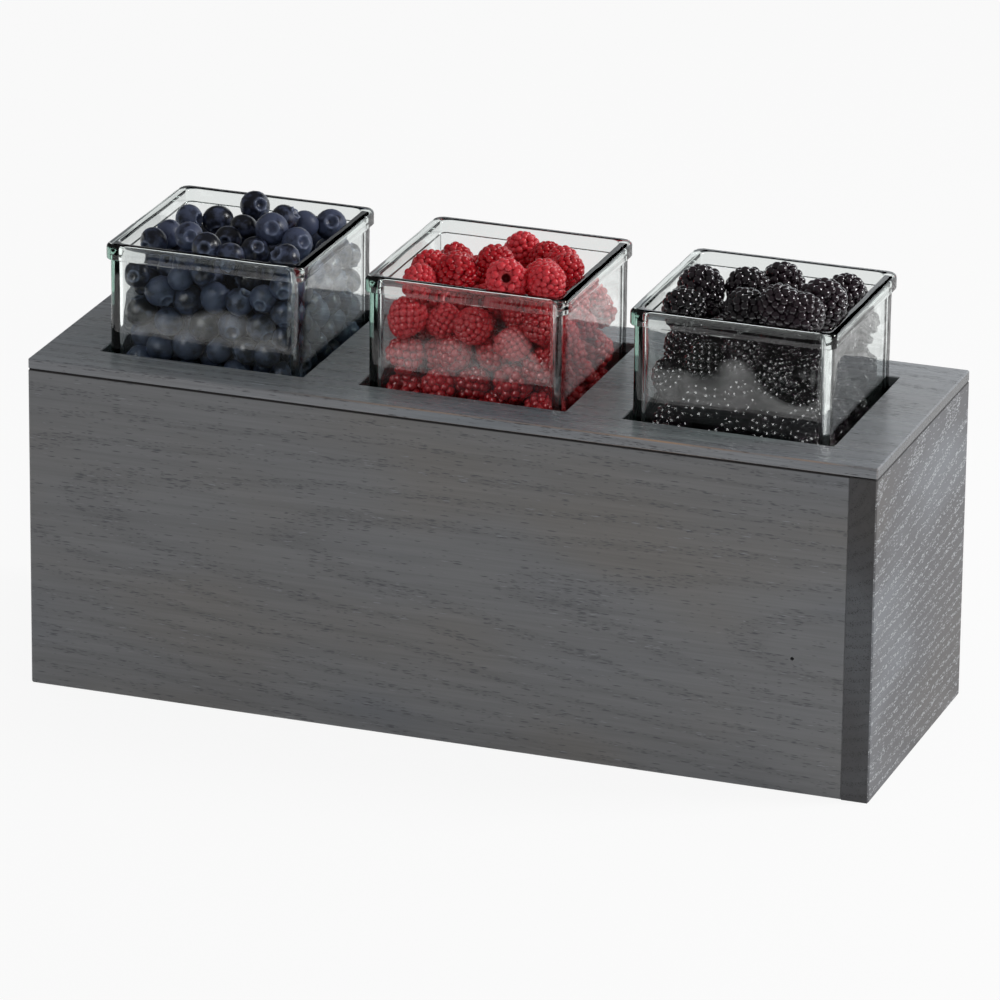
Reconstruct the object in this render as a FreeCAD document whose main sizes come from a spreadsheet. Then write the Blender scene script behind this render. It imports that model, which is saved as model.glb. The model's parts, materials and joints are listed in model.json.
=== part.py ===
import FreeCAD, Part
import math
import os
import re
import Sketcher

# A bar garnish tray: a stained oak box whose loose top board has three square cut-outs, with a
# square glass jar standing in each. Millimetres, +Z up, +X to the right, front at -Y. The origin
# is the middle of the underside.

SHEET_NAME = "Sizes"
JAR_NODES = ("left_jar", "middle_jar", "right_jar")

# Driving sizes: alias, value, what it measures.
DRIVING = (
    ("jar_count", len(JAR_NODES), "jars in the row"),
    ("rim_side", 91.2, "side of a jar over its rim"),
    ("rim_height", 6.9, "height of the rim band"),
    ("rim_corner", 5.0, "corner radius of the rim, in plan"),
    ("rim_overhang", 1.9, "how far the rim stands out from the body"),
    ("rim_round", 1.8, "rounding of the rim's upper outer edge"),
    ("rim_under_bevel", 0.8, "bevel of the rim's lower edge"),
    ("lip_bevel", 1.0, "bevel of the mouth"),
    ("jar_height", 101.6, "height of a jar"),
    ("jar_proud", 48.0, "how far the rim stands above the top board"),
    ("glass_wall", 3.2, "thickness of a jar's side wall"),
    ("glass_floor", 8.0, "thickness of a jar's floor at its middle"),
    ("bore_corner", 4.0, "corner radius of the jar's inside, in plan"),
    ("bore_bevel", 2.4, "bevel between the inside's walls and floor"),
    ("base_bevel", 2.0, "bevel round the jar's underside"),
    ("foot_ring", 9.0, "width of the flat ring that the jar stands on"),
    ("foot_recess", 1.6, "depth of the hollow under the jar"),
    ("jar_clearance", 0.95, "gap between a rim and its cut-out, each side"),
    ("web_width", 25.4, "wood between two cut-outs"),
    ("end_margin", 25.4, "wood between a cut-out and the end of the top board"),
    ("side_margin", 20.15, "wood between a cut-out and the front or back edge"),
    ("cutout_corner", 0.6, "corner radius of a cut-out"),
    ("cutout_arris", 0.4, "bevel of a cut-out's upper edge"),
    ("lid_thickness", 5.0, "thickness of the top board"),
    ("lid_arris", 0.6, "bevel of the top board's outer edges"),
    ("box_height", 144.4, "height of the four side boards"),
    ("board_thickness", 12.0, "thickness of the four side boards"),
    ("board_arris", 0.6, "bevel of the side boards' outer edges"),
    ("pin_hole_bore", 1.6, "diameter of the small hole in the front board"),
    ("pin_hole_depth", 2.5, "depth of that hole"),
    ("pin_hole_inset", 35.0, "that hole's distance from the right end"),
    ("pin_hole_rise", 60.4, "that hole's height above the underside"),
    ("batten_height", 8.0, "height of the battens under the top board"),
    ("batten_setback", 2.5, "distance of a batten from the cut-outs beside it"),
    ("batten_clearance", 0.7, "gap between the battens and the box's inside"),
    ("shelf_thickness", 6.0, "thickness of the shelf that the jars stand on"),
    ("shelf_clearance", 0.5, "gap between the shelf and the box's inside"),
    ("cleat_height", 19.0, "height of a shelf cleat"),
    ("cleat_thickness", 12.0, "thickness of a shelf cleat"),
    ("cleat_end_gap", 2.0, "gap between a cleat and the end boards"),
    ("screw_bore", 3.5, "diameter of a cleat screw's shank"),
    ("screw_head", 7.0, "diameter of its countersunk head"),
    ("screw_length", 20.0, "length of a cleat screw"),
    ("screw_point", 3.0, "length of its point"),
    ("screw_fit", 0.05, "gap round a screw in its hole"),
    ("screw_inset", 38.0, "distance of the outer screws from a cleat's ends"),
    ("screw_count", 3, "screws in each cleat"),
)

# Sizes that follow from the driving ones: alias, formula.
FOLLOWING = (
    ("cutout_side", "rim_side + 2 * jar_clearance"),
    ("jar_pitch", "cutout_side + web_width"),
    ("row_length", "(jar_count - 1) * jar_pitch"),
    ("overall_length", "row_length + cutout_side + 2 * end_margin"),
    ("overall_depth", "cutout_side + 2 * side_margin"),
    ("inner_length", "overall_length - 2 * board_thickness"),
    ("inner_depth", "overall_depth - 2 * board_thickness"),
    ("long_board_length", "overall_length - board_thickness"),
    ("lid_top", "box_height + lid_thickness"),
    ("shelf_top", "lid_top + jar_proud - jar_height"),
    ("cleat_top", "shelf_top - shelf_thickness"),
    ("cleat_bottom", "cleat_top - cleat_height"),
    ("cleat_length", "inner_length - 2 * cleat_end_gap"),
    ("cleat_y", "(inner_depth - cleat_thickness) / 2"),
    ("cleat_face_y", "inner_depth / 2 - cleat_thickness"),
    ("screw_z", "cleat_bottom + cleat_height / 2"),
    ("screw_span", "cleat_length - 2 * screw_inset"),
    ("screw_hole", "screw_bore + 2 * screw_fit"),
    ("screw_sink", "(screw_head - screw_bore) / 2"),
    ("pilot_depth", "screw_length - cleat_thickness + screw_fit"),
    ("batten_length", "inner_depth - 2 * batten_clearance"),
    ("batten_bottom", "box_height - batten_height"),
    ("web_batten_width", "web_width - 2 * batten_setback"),
    ("end_batten_width", "end_margin - board_thickness - batten_clearance - batten_setback"),
    ("end_batten_x", "(inner_length - end_batten_width) / 2 - batten_clearance"),
    ("web_batten_x", "jar_pitch / 2"),
    ("body_side", "rim_side - 2 * rim_overhang"),
    ("body_corner", "rim_corner - rim_overhang"),
    ("neck_height", "jar_height - rim_height"),
    ("mouth_side", "body_side - 2 * glass_wall"),
    ("bore_depth", "jar_height - glass_floor"),
    ("recess_side", "body_side - 2 * foot_ring"),
)

UPRIGHT = FreeCAD.Vector(0, 0, 1)
HALF_TURN = FreeCAD.Rotation(UPRIGHT, 180)
SAME_PLACE = 1e-4
QUARTER_TURNS = (0, 90, 180, 270)

doc = FreeCAD.newDocument("BarGarnishTray")


def make_sheet():
    """Write the sizes into the sheet, one alias a row."""
    sheet = doc.addObject("Spreadsheet::Sheet", SHEET_NAME)
    row = 1
    for alias, number, meaning in DRIVING:
        sheet.set("A%d" % row, meaning)
        sheet.set("B%d" % row, str(number))
        sheet.setAlias("B%d" % row, alias)
        row += 1
    for alias, formula in FOLLOWING:
        sheet.set("B%d" % row, "=" + formula)
        sheet.setAlias("B%d" % row, alias)
        row += 1
    doc.recompute()
    return sheet


sheet = make_sheet()


def size(formula):
    """A formula over the sheet's aliases, such as "-cleat_y / 2", as a document expression."""
    return re.sub(r"[a-z]\w*", SHEET_NAME + r".\g<0>", formula)


def bind(thing, **formulas):
    """Bind properties of an object to sizes; a double underscore stands for a dot."""
    for name, formula in formulas.items():
        thing.setExpression(name.replace("__", "."), size(formula))


def new_body(name, x="0", y="0", z="0", turned=False):
    """A body under its node's name, placed by formulas and turned half round where asked."""
    body = doc.addObject("PartDesign::Body", name)
    body.Label = name
    if turned:
        body.Placement = FreeCAD.Placement(FreeCAD.Vector(), HALF_TURN)
    bind(body, Placement__Base__x=x, Placement__Base__y=y, Placement__Base__z=z)
    return body


def origin_item(body, role):
    """The plane or axis of a body's own origin that has this role."""
    return next(item for item in body.Origin.OriginFeatures if item.Role == role)


def new_sketch(body, name, plane="XY_Plane", offset=None):
    """A sketch on one of the body's origin planes, moved along the plane's normal."""
    sketch = body.newObject("Sketcher::SketchObject", name)
    sketch.AttachmentSupport = [(origin_item(body, plane), "")]
    sketch.MapMode = "FlatFace"
    if offset:
        bind(sketch, AttachmentOffset__Base__z=offset)
    return sketch


def name_and_bind(sketch, index, name, formula):
    """Name one constraint of a sketch and bind it to a size."""
    sketch.renameConstraint(index, name)
    sketch.setExpression("Constraints." + name, size(formula))


def value_of(formula):
    """The present value of a formula over the sheet's aliases."""
    return float(sheet.evalExpression(size(formula)))


def draw_rectangle(sketch, width, depth):
    """A rectangle centred on the sketch's origin."""
    half_w, half_d = value_of(width) / 2, value_of(depth) / 2
    corners = [(-half_w, -half_d), (half_w, -half_d), (half_w, half_d), (-half_w, half_d)]
    points = [FreeCAD.Vector(u, v, 0) for u, v in corners]
    for start, end in zip(points, points[1:] + points[:1]):
        sketch.addGeometry(Part.LineSegment(start, end), False)
    for line in range(4):
        sketch.addConstraint(Sketcher.Constraint("Coincident", line, 2, (line + 1) % 4, 1))
        sketch.addConstraint(Sketcher.Constraint(("Horizontal", "Vertical")[line % 2], line))
    sketch.addConstraint(Sketcher.Constraint("Symmetric", 0, 1, 2, 1, -1, 1))
    wide = sketch.addConstraint(Sketcher.Constraint("DistanceX", 0, 1, 0, 2, 2 * half_w))
    deep = sketch.addConstraint(Sketcher.Constraint("DistanceY", 1, 1, 1, 2, 2 * half_d))
    name_and_bind(sketch, wide, "width", width)
    name_and_bind(sketch, deep, "depth", depth)


def draw_outline(sketch, corners):
    """A closed outline of straight lines through corners given by formulas."""
    places = [FreeCAD.Vector(value_of(u), value_of(v), 0) for u, v in corners]
    count = len(corners)
    for number in range(count):
        sketch.addGeometry(Part.LineSegment(places[number], places[(number + 1) % count]), False)
    for number, (u, v) in enumerate(corners):
        sketch.addConstraint(Sketcher.Constraint("Coincident", number, 2, (number + 1) % count, 1))
        place = places[number]
        right = sketch.addConstraint(Sketcher.Constraint("DistanceX", -1, 1, number, 1, place.x))
        up = sketch.addConstraint(Sketcher.Constraint("DistanceY", -1, 1, number, 1, place.y))
        name_and_bind(sketch, right, "right%d" % number, u)
        name_and_bind(sketch, up, "up%d" % number, v)


def draw_round_square(sketch, side, corner, x="0"):
    """A square with round corners, centred on the sketch's origin or moved along X."""
    half, radius, shift = value_of(side) / 2, value_of(corner), value_of(x)
    flat = half - radius
    middle = FreeCAD.Vector(shift, 0, 0)
    for angle in QUARTER_TURNS:
        turn = FreeCAD.Rotation(UPRIGHT, angle)
        start = middle + turn.multVec(FreeCAD.Vector(-flat, -half, 0))
        end = middle + turn.multVec(FreeCAD.Vector(flat, -half, 0))
        sketch.addGeometry(Part.LineSegment(start, end), False)
        centre = middle + turn.multVec(FreeCAD.Vector(flat, -flat, 0))
        circle = Part.Circle(centre, UPRIGHT, radius)
        last = math.radians(angle)
        sketch.addGeometry(Part.ArcOfCircle(circle, last - math.pi / 2, last), False)
    for item in range(8):
        sketch.addConstraint(Sketcher.Constraint("Tangent", item, 2, (item + 1) % 8, 1))
    for number in range(4):
        direction = ("Horizontal", "Vertical")[number % 2]
        sketch.addConstraint(Sketcher.Constraint(direction, 2 * number))
    for arc in (3, 5, 7):
        sketch.addConstraint(Sketcher.Constraint("Equal", 1, arc))
    centre_point = sketch.addGeometry(Part.Point(middle), True)
    sketch.addConstraint(Sketcher.Constraint("Symmetric", 1, 3, 5, 3, centre_point, 1))
    sketch.addConstraint(Sketcher.Constraint("PointOnObject", centre_point, 1, -1))
    place = sketch.addConstraint(Sketcher.Constraint("DistanceX", -1, 1, centre_point, 1, shift))
    wide = sketch.addConstraint(Sketcher.Constraint("DistanceX", 6, 1, 2, 1, 2 * half))
    deep = sketch.addConstraint(Sketcher.Constraint("DistanceY", 0, 1, 4, 1, 2 * half))
    turn_size = sketch.addConstraint(Sketcher.Constraint("Radius", 1, radius))
    name_and_bind(sketch, place, "place", x)
    name_and_bind(sketch, wide, "width", side)
    name_and_bind(sketch, deep, "depth", side)
    name_and_bind(sketch, turn_size, "corner", corner)


def draw_circle(sketch, diameter, u, v):
    """One circle at a place given by two formulas."""
    place = FreeCAD.Vector(value_of(u), value_of(v), 0)
    circle = Part.Circle(place, UPRIGHT, value_of(diameter) / 2)
    item = sketch.addGeometry(circle, False)
    across = sketch.addConstraint(Sketcher.Constraint("Diameter", item, value_of(diameter)))
    right = sketch.addConstraint(Sketcher.Constraint("DistanceX", -1, 1, item, 3, place.x))
    up = sketch.addConstraint(Sketcher.Constraint("DistanceY", -1, 1, item, 3, place.y))
    name_and_bind(sketch, across, "bore", diameter)
    name_and_bind(sketch, right, "right", u)
    name_and_bind(sketch, up, "up", v)


def pad(body, sketch, name, height):
    """Raise a sketch by a height."""
    feature = body.newObject("PartDesign::Pad", name)
    feature.Profile = sketch
    bind(feature, Length=height)
    doc.recompute()
    return feature


def pocket(body, sketch, name, depth=None, reverse=False):
    """Cut a sketch to a depth, or right through both ways, and make sure that it cut."""
    before = body.Shape.Volume
    feature = body.newObject("PartDesign::Pocket", name)
    feature.Profile = sketch
    feature.Reversed = reverse
    if depth is None:
        feature.Type = "ThroughAll"
        feature.Midplane = True
    else:
        bind(feature, Length=depth)
    doc.recompute()
    if not feature.Shape.Volume < before:
        raise ValueError("%s cut nothing from %s" % (name, body.Label))
    return feature


def repeat_along_x(body, original, name, span, count):
    """Repeat a feature along X, evenly over a span."""
    pattern = body.newObject("PartDesign::LinearPattern", name)
    pattern.Originals = [original]
    pattern.Direction = (origin_item(body, "X_Axis"), [""])
    bind(pattern, Length=span, Occurrences=count)
    body.Tip = pattern
    doc.recompute()
    return pattern


def edge_name(index):
    """The name by which a feature refers to one edge of a shape or line of a sketch."""
    return "Edge%d" % (index + 1)


def edges_where(shape, wanted):
    """Names of the edges whose bounding box passes a test."""
    return [edge_name(index) for index, edge in enumerate(shape.Edges) if wanted(edge.BoundBox)]


def near(a, b):
    """Whether two coordinates are the same."""
    return abs(a - b) < SAME_PLACE


def lies_at(axis, level):
    """A test for edges that lie wholly at one level of an axis."""
    low, high = axis + "Min", axis + "Max"
    return lambda box: near(getattr(box, low), level) and near(getattr(box, high), level)


def farthest(box):
    """How far an edge reaches from the upright axis along X or Y."""
    return max(abs(box.XMin), abs(box.XMax), abs(box.YMin), abs(box.YMax))


def soften(body, base, kind, name, wanted, **size):
    """Take the sharpness off the edges of a feature that pass a test."""
    feature = body.newObject(kind, name)
    feature.Base = (base, edges_where(base.Shape, wanted))
    bind(feature, **size)
    body.Tip = feature
    doc.recompute()
    return feature


def round_edges(body, base, name, radius, wanted):
    """Round the edges of a feature that pass a test."""
    return soften(body, base, "PartDesign::Fillet", name, wanted, Radius=radius)


def bevel_edges(body, base, name, size, wanted):
    """Bevel the edges of a feature that pass a test."""
    return soften(body, base, "PartDesign::Chamfer", name, wanted, Size=size)


def block(name, width, depth, height, x="0", y="0", z="0", turned=False):
    """A plain sawn piece: a rectangle in plan, raised to its height."""
    body = new_body(name, x, y, z, turned)
    sketch = new_sketch(body, name + "_plan")
    draw_rectangle(sketch, width, depth)
    return body, pad(body, sketch, name + "_blank", height)


def drill_row(body, name, bore, x, z, face=None, depth=None, reverse=False):
    """The row of screw holes along a cleat or a long board, drilled along Y."""
    sketch = new_sketch(body, name + "_plan", "XZ_Plane", face)
    draw_circle(sketch, bore, x + " - screw_span / 2", z)
    hole = pocket(body, sketch, name, depth, reverse)
    return repeat_along_x(body, hole, name + "_row", "screw_span", "screw_count")


def make_long_board(name, side):
    """The front board (side -1) or back board (side 1), which butts on the right end board."""
    sign = "-" if side < 0 else ""
    body, blank = block(name, "long_board_length", "board_thickness", "box_height",
                        x="-board_thickness / 2",
                        y=sign + "( overall_depth - board_thickness ) / 2")
    box = blank.Shape.BoundBox
    outer_face = lies_at("Y", box.YMin if side < 0 else box.YMax)
    free_end = lies_at("X", box.XMin)
    bevel_edges(body, blank, name + "_arris", "board_arris",
                lambda edge: outer_face(edge) or free_end(edge))
    inner_face = "-board_thickness / 2" if side < 0 else "board_thickness / 2"
    drill_row(body, name + "_pilots", "screw_hole", "board_thickness / 2", "screw_z",
              inner_face, "pilot_depth", reverse=side < 0)
    return body


def make_pin_hole(body):
    """The small open hole low on the right of the front board's outer face."""
    sketch = new_sketch(body, "pin_hole_place", "XZ_Plane", "board_thickness / 2")
    draw_circle(sketch, "pin_hole_bore",
                "overall_length / 2 - pin_hole_inset + board_thickness / 2", "pin_hole_rise")
    pocket(body, sketch, "pin_hole", "pin_hole_depth")


def make_end_board(name, side, depth):
    """An end board: the right one covers the long boards' ends, the left one is between them."""
    sign = "-" if side < 0 else ""
    body, blank = block(name, "board_thickness", depth, "box_height",
                        x=sign + "( overall_length - board_thickness ) / 2")
    box = blank.Shape.BoundBox
    outer_face = lies_at("X", box.XMin if side < 0 else box.XMax)
    bevel_edges(body, blank, name + "_arris", "board_arris", outer_face)


def make_cleat(name, side):
    """A shelf cleat; in its own frame +Y points at the board that it is screwed to."""
    sign = "-" if side < 0 else ""
    body, _ = block(name, "cleat_length", "cleat_thickness", "cleat_height",
                    y=sign + "cleat_y", z="cleat_bottom", turned=side < 0)
    row = drill_row(body, name + "_holes", "screw_hole", "0", "cleat_height / 2")
    face = row.Shape.BoundBox.YMin
    mouths = [edge_name(index) for index, edge in enumerate(row.Shape.Edges)
              if isinstance(edge.Curve, Part.Circle) and near(edge.BoundBox.YMax, face)]
    sink = body.newObject("PartDesign::Chamfer", name + "_sinks")
    sink.Base = (row, mouths)
    bind(sink, Size="screw_sink")
    body.Tip = sink
    doc.recompute()


def make_cleat_screws(name, side):
    """The countersunk screws of one cleat, each turned from its profile."""
    sign = "-" if side < 0 else ""
    body = new_body(name, y=sign + "cleat_face_y", z="screw_z", turned=side < 0)
    body.AllowCompound = True
    sketch = new_sketch(body, name + "_profile")
    middle = "-screw_span / 2"
    head, shank = middle + " + screw_head / 2", middle + " + screw_bore / 2"
    profile = [(middle, "0"), (head, "0"), (shank, "screw_sink"),
               (shank, "screw_length - screw_point"), (middle, "screw_length")]
    draw_outline(sketch, profile)
    closing_line = len(profile) - 1
    turned = body.newObject("PartDesign::Revolution", name + "_turned")
    turned.Profile = sketch
    turned.ReferenceAxis = (sketch, [edge_name(closing_line)])
    turned.Angle = 360
    doc.recompute()
    repeat_along_x(body, turned, name + "_row", "screw_span", "screw_count")


def make_box():
    """The four side boards, the cleats with their screws, and the shelf."""
    make_pin_hole(make_long_board("front_board", -1))
    make_long_board("back_board", 1)
    make_end_board("left_end_board", -1, "inner_depth")
    make_end_board("right_end_board", 1, "overall_depth")
    for name, side in (("front_cleat", -1), ("back_cleat", 1)):
        make_cleat(name, side)
        make_cleat_screws(name + "_screws", side)
    block("jar_shelf", "inner_length - 2 * shelf_clearance", "inner_depth - 2 * shelf_clearance",
          "shelf_thickness", z="cleat_top")


def make_top_board():
    """The loose top board with its row of cut-outs, every outer edge eased."""
    body, blank = block("top_board", "overall_length", "overall_depth", "lid_thickness",
                        z="box_height")
    bevel_edges(body, blank, "top_board_arris", "lid_arris", lambda edge: True)
    sketch = new_sketch(body, "cutout_plan")
    draw_round_square(sketch, "cutout_side", "cutout_corner", x="-row_length / 2")
    cut = pocket(body, sketch, "cutout")
    row = repeat_along_x(body, cut, "cutout_row", "row_length", "jar_count")
    on_top = lies_at("Z", blank.Shape.BoundBox.ZMax)
    mid_margin = (value_of("overall_depth") - value_of("side_margin")) / 2
    bevel_edges(body, row, "cutout_arris_bevel", "cutout_arris",
                lambda edge: on_top(edge) and max(-edge.YMin, edge.YMax) < mid_margin)


def make_battens():
    """The battens glued under the top board: one at each end, one under each web."""
    for name, width, x in (("left_end_batten", "end_batten_width", "-end_batten_x"),
                           ("left_web_batten", "web_batten_width", "-web_batten_x"),
                           ("right_web_batten", "web_batten_width", "web_batten_x"),
                           ("right_end_batten", "end_batten_width", "end_batten_x")):
        block(name, width, "batten_length", "batten_height", x=x, z="batten_bottom")


def mould_outside(body, name):
    """A jar's square body under its rim band, with soft edges."""
    plan = new_sketch(body, name + "_body_plan")
    draw_round_square(plan, "body_side", "body_corner")
    pad(body, plan, name + "_body", "neck_height")
    rim_plan = new_sketch(body, name + "_rim_plan", offset="neck_height")
    draw_round_square(rim_plan, "rim_side", "rim_corner")
    rim = pad(body, rim_plan, name + "_rim", "rim_height")
    at_top, under_rim = lies_at("Z", value_of("jar_height")), lies_at("Z", value_of("neck_height"))
    mid_overhang = (value_of("rim_side") - value_of("rim_overhang")) / 2
    soft = round_edges(body, rim, name + "_rim_round", "rim_round", at_top)
    soft = bevel_edges(body, soft, name + "_rim_under_bevel", "rim_under_bevel",
                       lambda edge: under_rim(edge) and farthest(edge) > mid_overhang)
    bevel_edges(body, soft, name + "_base_bevel", "base_bevel", lies_at("Z", 0))


def mould_inside(body, name):
    """A jar's square inside, with a bevel round its floor and its mouth."""
    plan = new_sketch(body, name + "_mouth_plan", offset="jar_height")
    draw_round_square(plan, "mouth_side", "bore_corner")
    bore = pocket(body, plan, name + "_inside", "bore_depth")
    at_floor, at_top = lies_at("Z", value_of("glass_floor")), lies_at("Z", value_of("jar_height"))
    mid_wall = (value_of("mouth_side") + value_of("glass_wall")) / 2
    soft = bevel_edges(body, bore, name + "_floor_bevel", "bore_bevel", at_floor)
    bevel_edges(body, soft, name + "_lip", "lip_bevel",
                lambda edge: at_top(edge) and farthest(edge) < mid_wall)


def make_jar(name, x):
    """A moulded square jar, standing on the ring round its hollow foot."""
    body = new_body(name, x=x, z="shelf_top")
    mould_outside(body, name)
    mould_inside(body, name)
    foot = new_sketch(body, name + "_foot_plan")
    draw_round_square(foot, "recess_side", "bore_corner")
    pocket(body, foot, name + "_foot", "foot_recess", reverse=True)


def check_and_export():
    """Stop if anything failed or is not a sound shape, then write one file for each node."""
    for item in doc.Objects:
        if {"Invalid", "Error"} & set(item.State):
            raise ValueError("%s failed: %s" % (item.Name, item.State))
    bodies = [item for item in doc.Objects if item.TypeId == "PartDesign::Body"]
    for body in bodies:
        if body.Shape.isNull() or not body.Shape.isValid():
            raise ValueError("%s has no sound shape" % body.Label)
    os.makedirs("parts", exist_ok=True)
    for body in bodies:
        body.Shape.exportStep(os.path.join("parts", body.Label + ".step"))
        box = body.Shape.BoundBox
        print("%-20s %d solid(s) %9.0f mm3  x %.1f..%.1f  y %.1f..%.1f  z %.1f..%.1f" % (
            body.Label, len(body.Shape.Solids), body.Shape.Volume,
            box.XMin, box.XMax, box.YMin, box.YMax, box.ZMin, box.ZMax))


make_box()
make_top_board()
make_battens()
for position, jar in enumerate(JAR_NODES):
    make_jar(jar, "%d * jar_pitch - row_length / 2" % position)
check_and_export()
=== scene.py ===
"""The looks of a bar garnish tray: a gray stained oak box with three square glass jars of berries.

Lengths are metres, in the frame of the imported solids: +Z up, +X to the right, the front at -Y and
the origin in the middle of the underside.
"""

import json
import logging
import math
from dataclasses import dataclass, field
from enum import Enum

import bmesh
import bpy
import numpy as np
from mathutils import Euler, Matrix, Vector, noise

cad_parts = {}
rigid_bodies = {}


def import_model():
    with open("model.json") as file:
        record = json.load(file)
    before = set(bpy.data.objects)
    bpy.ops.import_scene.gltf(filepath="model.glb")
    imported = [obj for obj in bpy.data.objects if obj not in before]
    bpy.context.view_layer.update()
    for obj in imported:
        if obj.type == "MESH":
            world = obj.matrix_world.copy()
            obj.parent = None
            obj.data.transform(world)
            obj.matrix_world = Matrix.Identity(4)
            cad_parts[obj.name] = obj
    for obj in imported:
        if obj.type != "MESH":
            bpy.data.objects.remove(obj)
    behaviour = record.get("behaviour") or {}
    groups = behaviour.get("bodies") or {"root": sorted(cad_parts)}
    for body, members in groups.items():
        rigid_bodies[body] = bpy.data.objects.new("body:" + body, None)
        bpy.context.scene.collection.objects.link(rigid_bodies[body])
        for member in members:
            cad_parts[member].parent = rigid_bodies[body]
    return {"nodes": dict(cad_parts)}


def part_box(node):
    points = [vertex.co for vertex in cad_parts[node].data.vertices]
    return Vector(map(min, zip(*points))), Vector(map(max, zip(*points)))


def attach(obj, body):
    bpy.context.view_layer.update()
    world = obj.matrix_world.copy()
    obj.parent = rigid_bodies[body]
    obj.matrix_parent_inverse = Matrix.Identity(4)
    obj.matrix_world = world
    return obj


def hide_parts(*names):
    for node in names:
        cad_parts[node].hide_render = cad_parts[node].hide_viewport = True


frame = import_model()

MM = 0.001
LOG = logging.getLogger("garnish_tray")
Value = bpy.types.NodeSocket | float | tuple[float, ...]
Colour = tuple[float, float, float]


def linear(red: int, green: int, blue: int) -> Colour:
    """A screen colour, 0 to 255 a channel, as the linear colour that shaders take.

    Args:
        red: The red channel.
        green: The green channel.
        blue: The blue channel.

    Returns:
        The same colour in linear light.
    """
    toe, slope, offset, gamma = 0.04045, 12.92, 0.055, 2.4

    def channel(level: int) -> float:
        """One channel in linear light."""
        share = level / 255.0
        return share / slope if share <= toe else ((share + offset) / (1 + offset)) ** gamma

    return channel(red), channel(green), channel(blue)


class NodeSheet:
    """A node tree with short calls for the nodes that this object's finishes and heaps use."""

    def __init__(self, tree: bpy.types.NodeTree) -> None:
        """Start on a tree, which is emptied.

        Args:
            tree: The material's, world's or geometry tree to fill.
        """
        self.tree = tree
        tree.nodes.clear()

    def add(self, kind: str, inputs: dict[str | int, Value] | None = None, **settings: object) -> bpy.types.Node:
        """Add a node.

        Args:
            kind: The node's type.
            inputs: What goes into its sockets, by name or number: a plain value or another socket.
            settings: The node's own settings.

        Returns:
            The node.
        """
        node = self.tree.nodes.new(kind)
        for name, setting in settings.items():
            setattr(node, name, setting)
        for key, value in (inputs or {}).items():
            self.put(node.inputs[key], value)
        return node

    def put(self, socket: bpy.types.NodeSocket, value: Value) -> None:
        """Link a socket, or set its plain value; a colour gets an alpha of 1 where it needs one."""
        if isinstance(value, bpy.types.NodeSocket):
            self.tree.links.new(value, socket)
            return
        if isinstance(value, tuple) and socket.type == "RGBA" and len(value) == 3:
            value = (*value, 1.0)
        socket.default_value = value

    def math(self, operation: str, a: Value, b: Value = 0.0, c: Value = 0.0) -> bpy.types.NodeSocket:
        """One step of arithmetic on numbers."""
        return self.add("ShaderNodeMath", {0: a, 1: b, 2: c}, operation=operation).outputs[0]

    def ramp(self, value: Value, low: float, high: float, to: tuple[float, float] = (0.0, 1.0)) -> bpy.types.NodeSocket:
        """A smooth step of a value from one level to another.

        Args:
            value: The value that is read.
            low: Where the step starts.
            high: Where it ends, which may lie below low.
            to: What it gives at its start and end.

        Returns:
            The stepped value.
        """
        swap = high < low
        ends = (high, low) if swap else (low, high)
        gives = (to[1], to[0]) if swap else to
        node = self.add("ShaderNodeMapRange", {"Value": value}, interpolation_type="SMOOTHSTEP")
        names = ("From Min", "From Max", "To Min", "To Max")
        for name, number in zip(names, (*ends, *gives)):
            node.inputs[name].default_value = number
        return node.outputs["Result"]

    def mix(self, share: Value, a: Value, b: Value, blend: str = "MIX") -> bpy.types.NodeSocket:
        """Two colours, or a colour laid over another.

        Args:
            share: How much of b shows.
            a: The colour beneath.
            b: The colour on top.
            blend: How they combine.

        Returns:
            The mixed colour.
        """
        node = self.add("ShaderNodeMix", data_type="RGBA", blend_type=blend, clamp_factor=True)
        self.put(node.inputs[0], share)
        self.put(node.inputs[6], a)
        self.put(node.inputs[7], b)
        return node.outputs[2]

    def noise(self, vector: Value, scale: float, detail: float = 2.0, roughness: float = 0.5) -> bpy.types.NodeSocket:
        """Cloudy noise about one half."""
        inputs = {"Vector": vector, "Scale": scale, "Detail": detail, "Roughness": roughness}
        return self.add("ShaderNodeTexNoise", inputs).outputs[0]

    def stretched(self, vector: Value, scale: tuple[float, float, float], shift: tuple[float, ...] = (0.0, 0.0, 0.0)) -> bpy.types.NodeSocket:
        """A vector scaled apart along its axes, then moved."""
        node = self.add("ShaderNodeVectorMath", {0: vector, 1: scale, 2: shift}, operation="MULTIPLY_ADD")
        return node.outputs[0]


def new_material(name: str) -> tuple[bpy.types.Material, NodeSheet, bpy.types.Node]:
    """A material with a Principled shader on its output.

    Args:
        name: The material's name.

    Returns:
        The material, its sheet and the shader node.
    """
    material = bpy.data.materials.new(name)
    material.use_nodes = True
    sheet = NodeSheet(material.node_tree)
    shader = sheet.add("ShaderNodeBsdfPrincipled")
    sheet.add("ShaderNodeOutputMaterial", {"Surface": shader.outputs[0]})
    return material, sheet, shader


class Lie(Enum):
    """How a board's grain lies: which object axes run along it, across its face and through it."""

    UPRIGHT_ALONG_X = ("X", "Z", "Y")
    UPRIGHT_ALONG_Y = ("Y", "Z", "X")
    FLAT_ALONG_X = ("X", "Y", "Z")
    FLAT_ALONG_Y = ("Y", "X", "Z")


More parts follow.
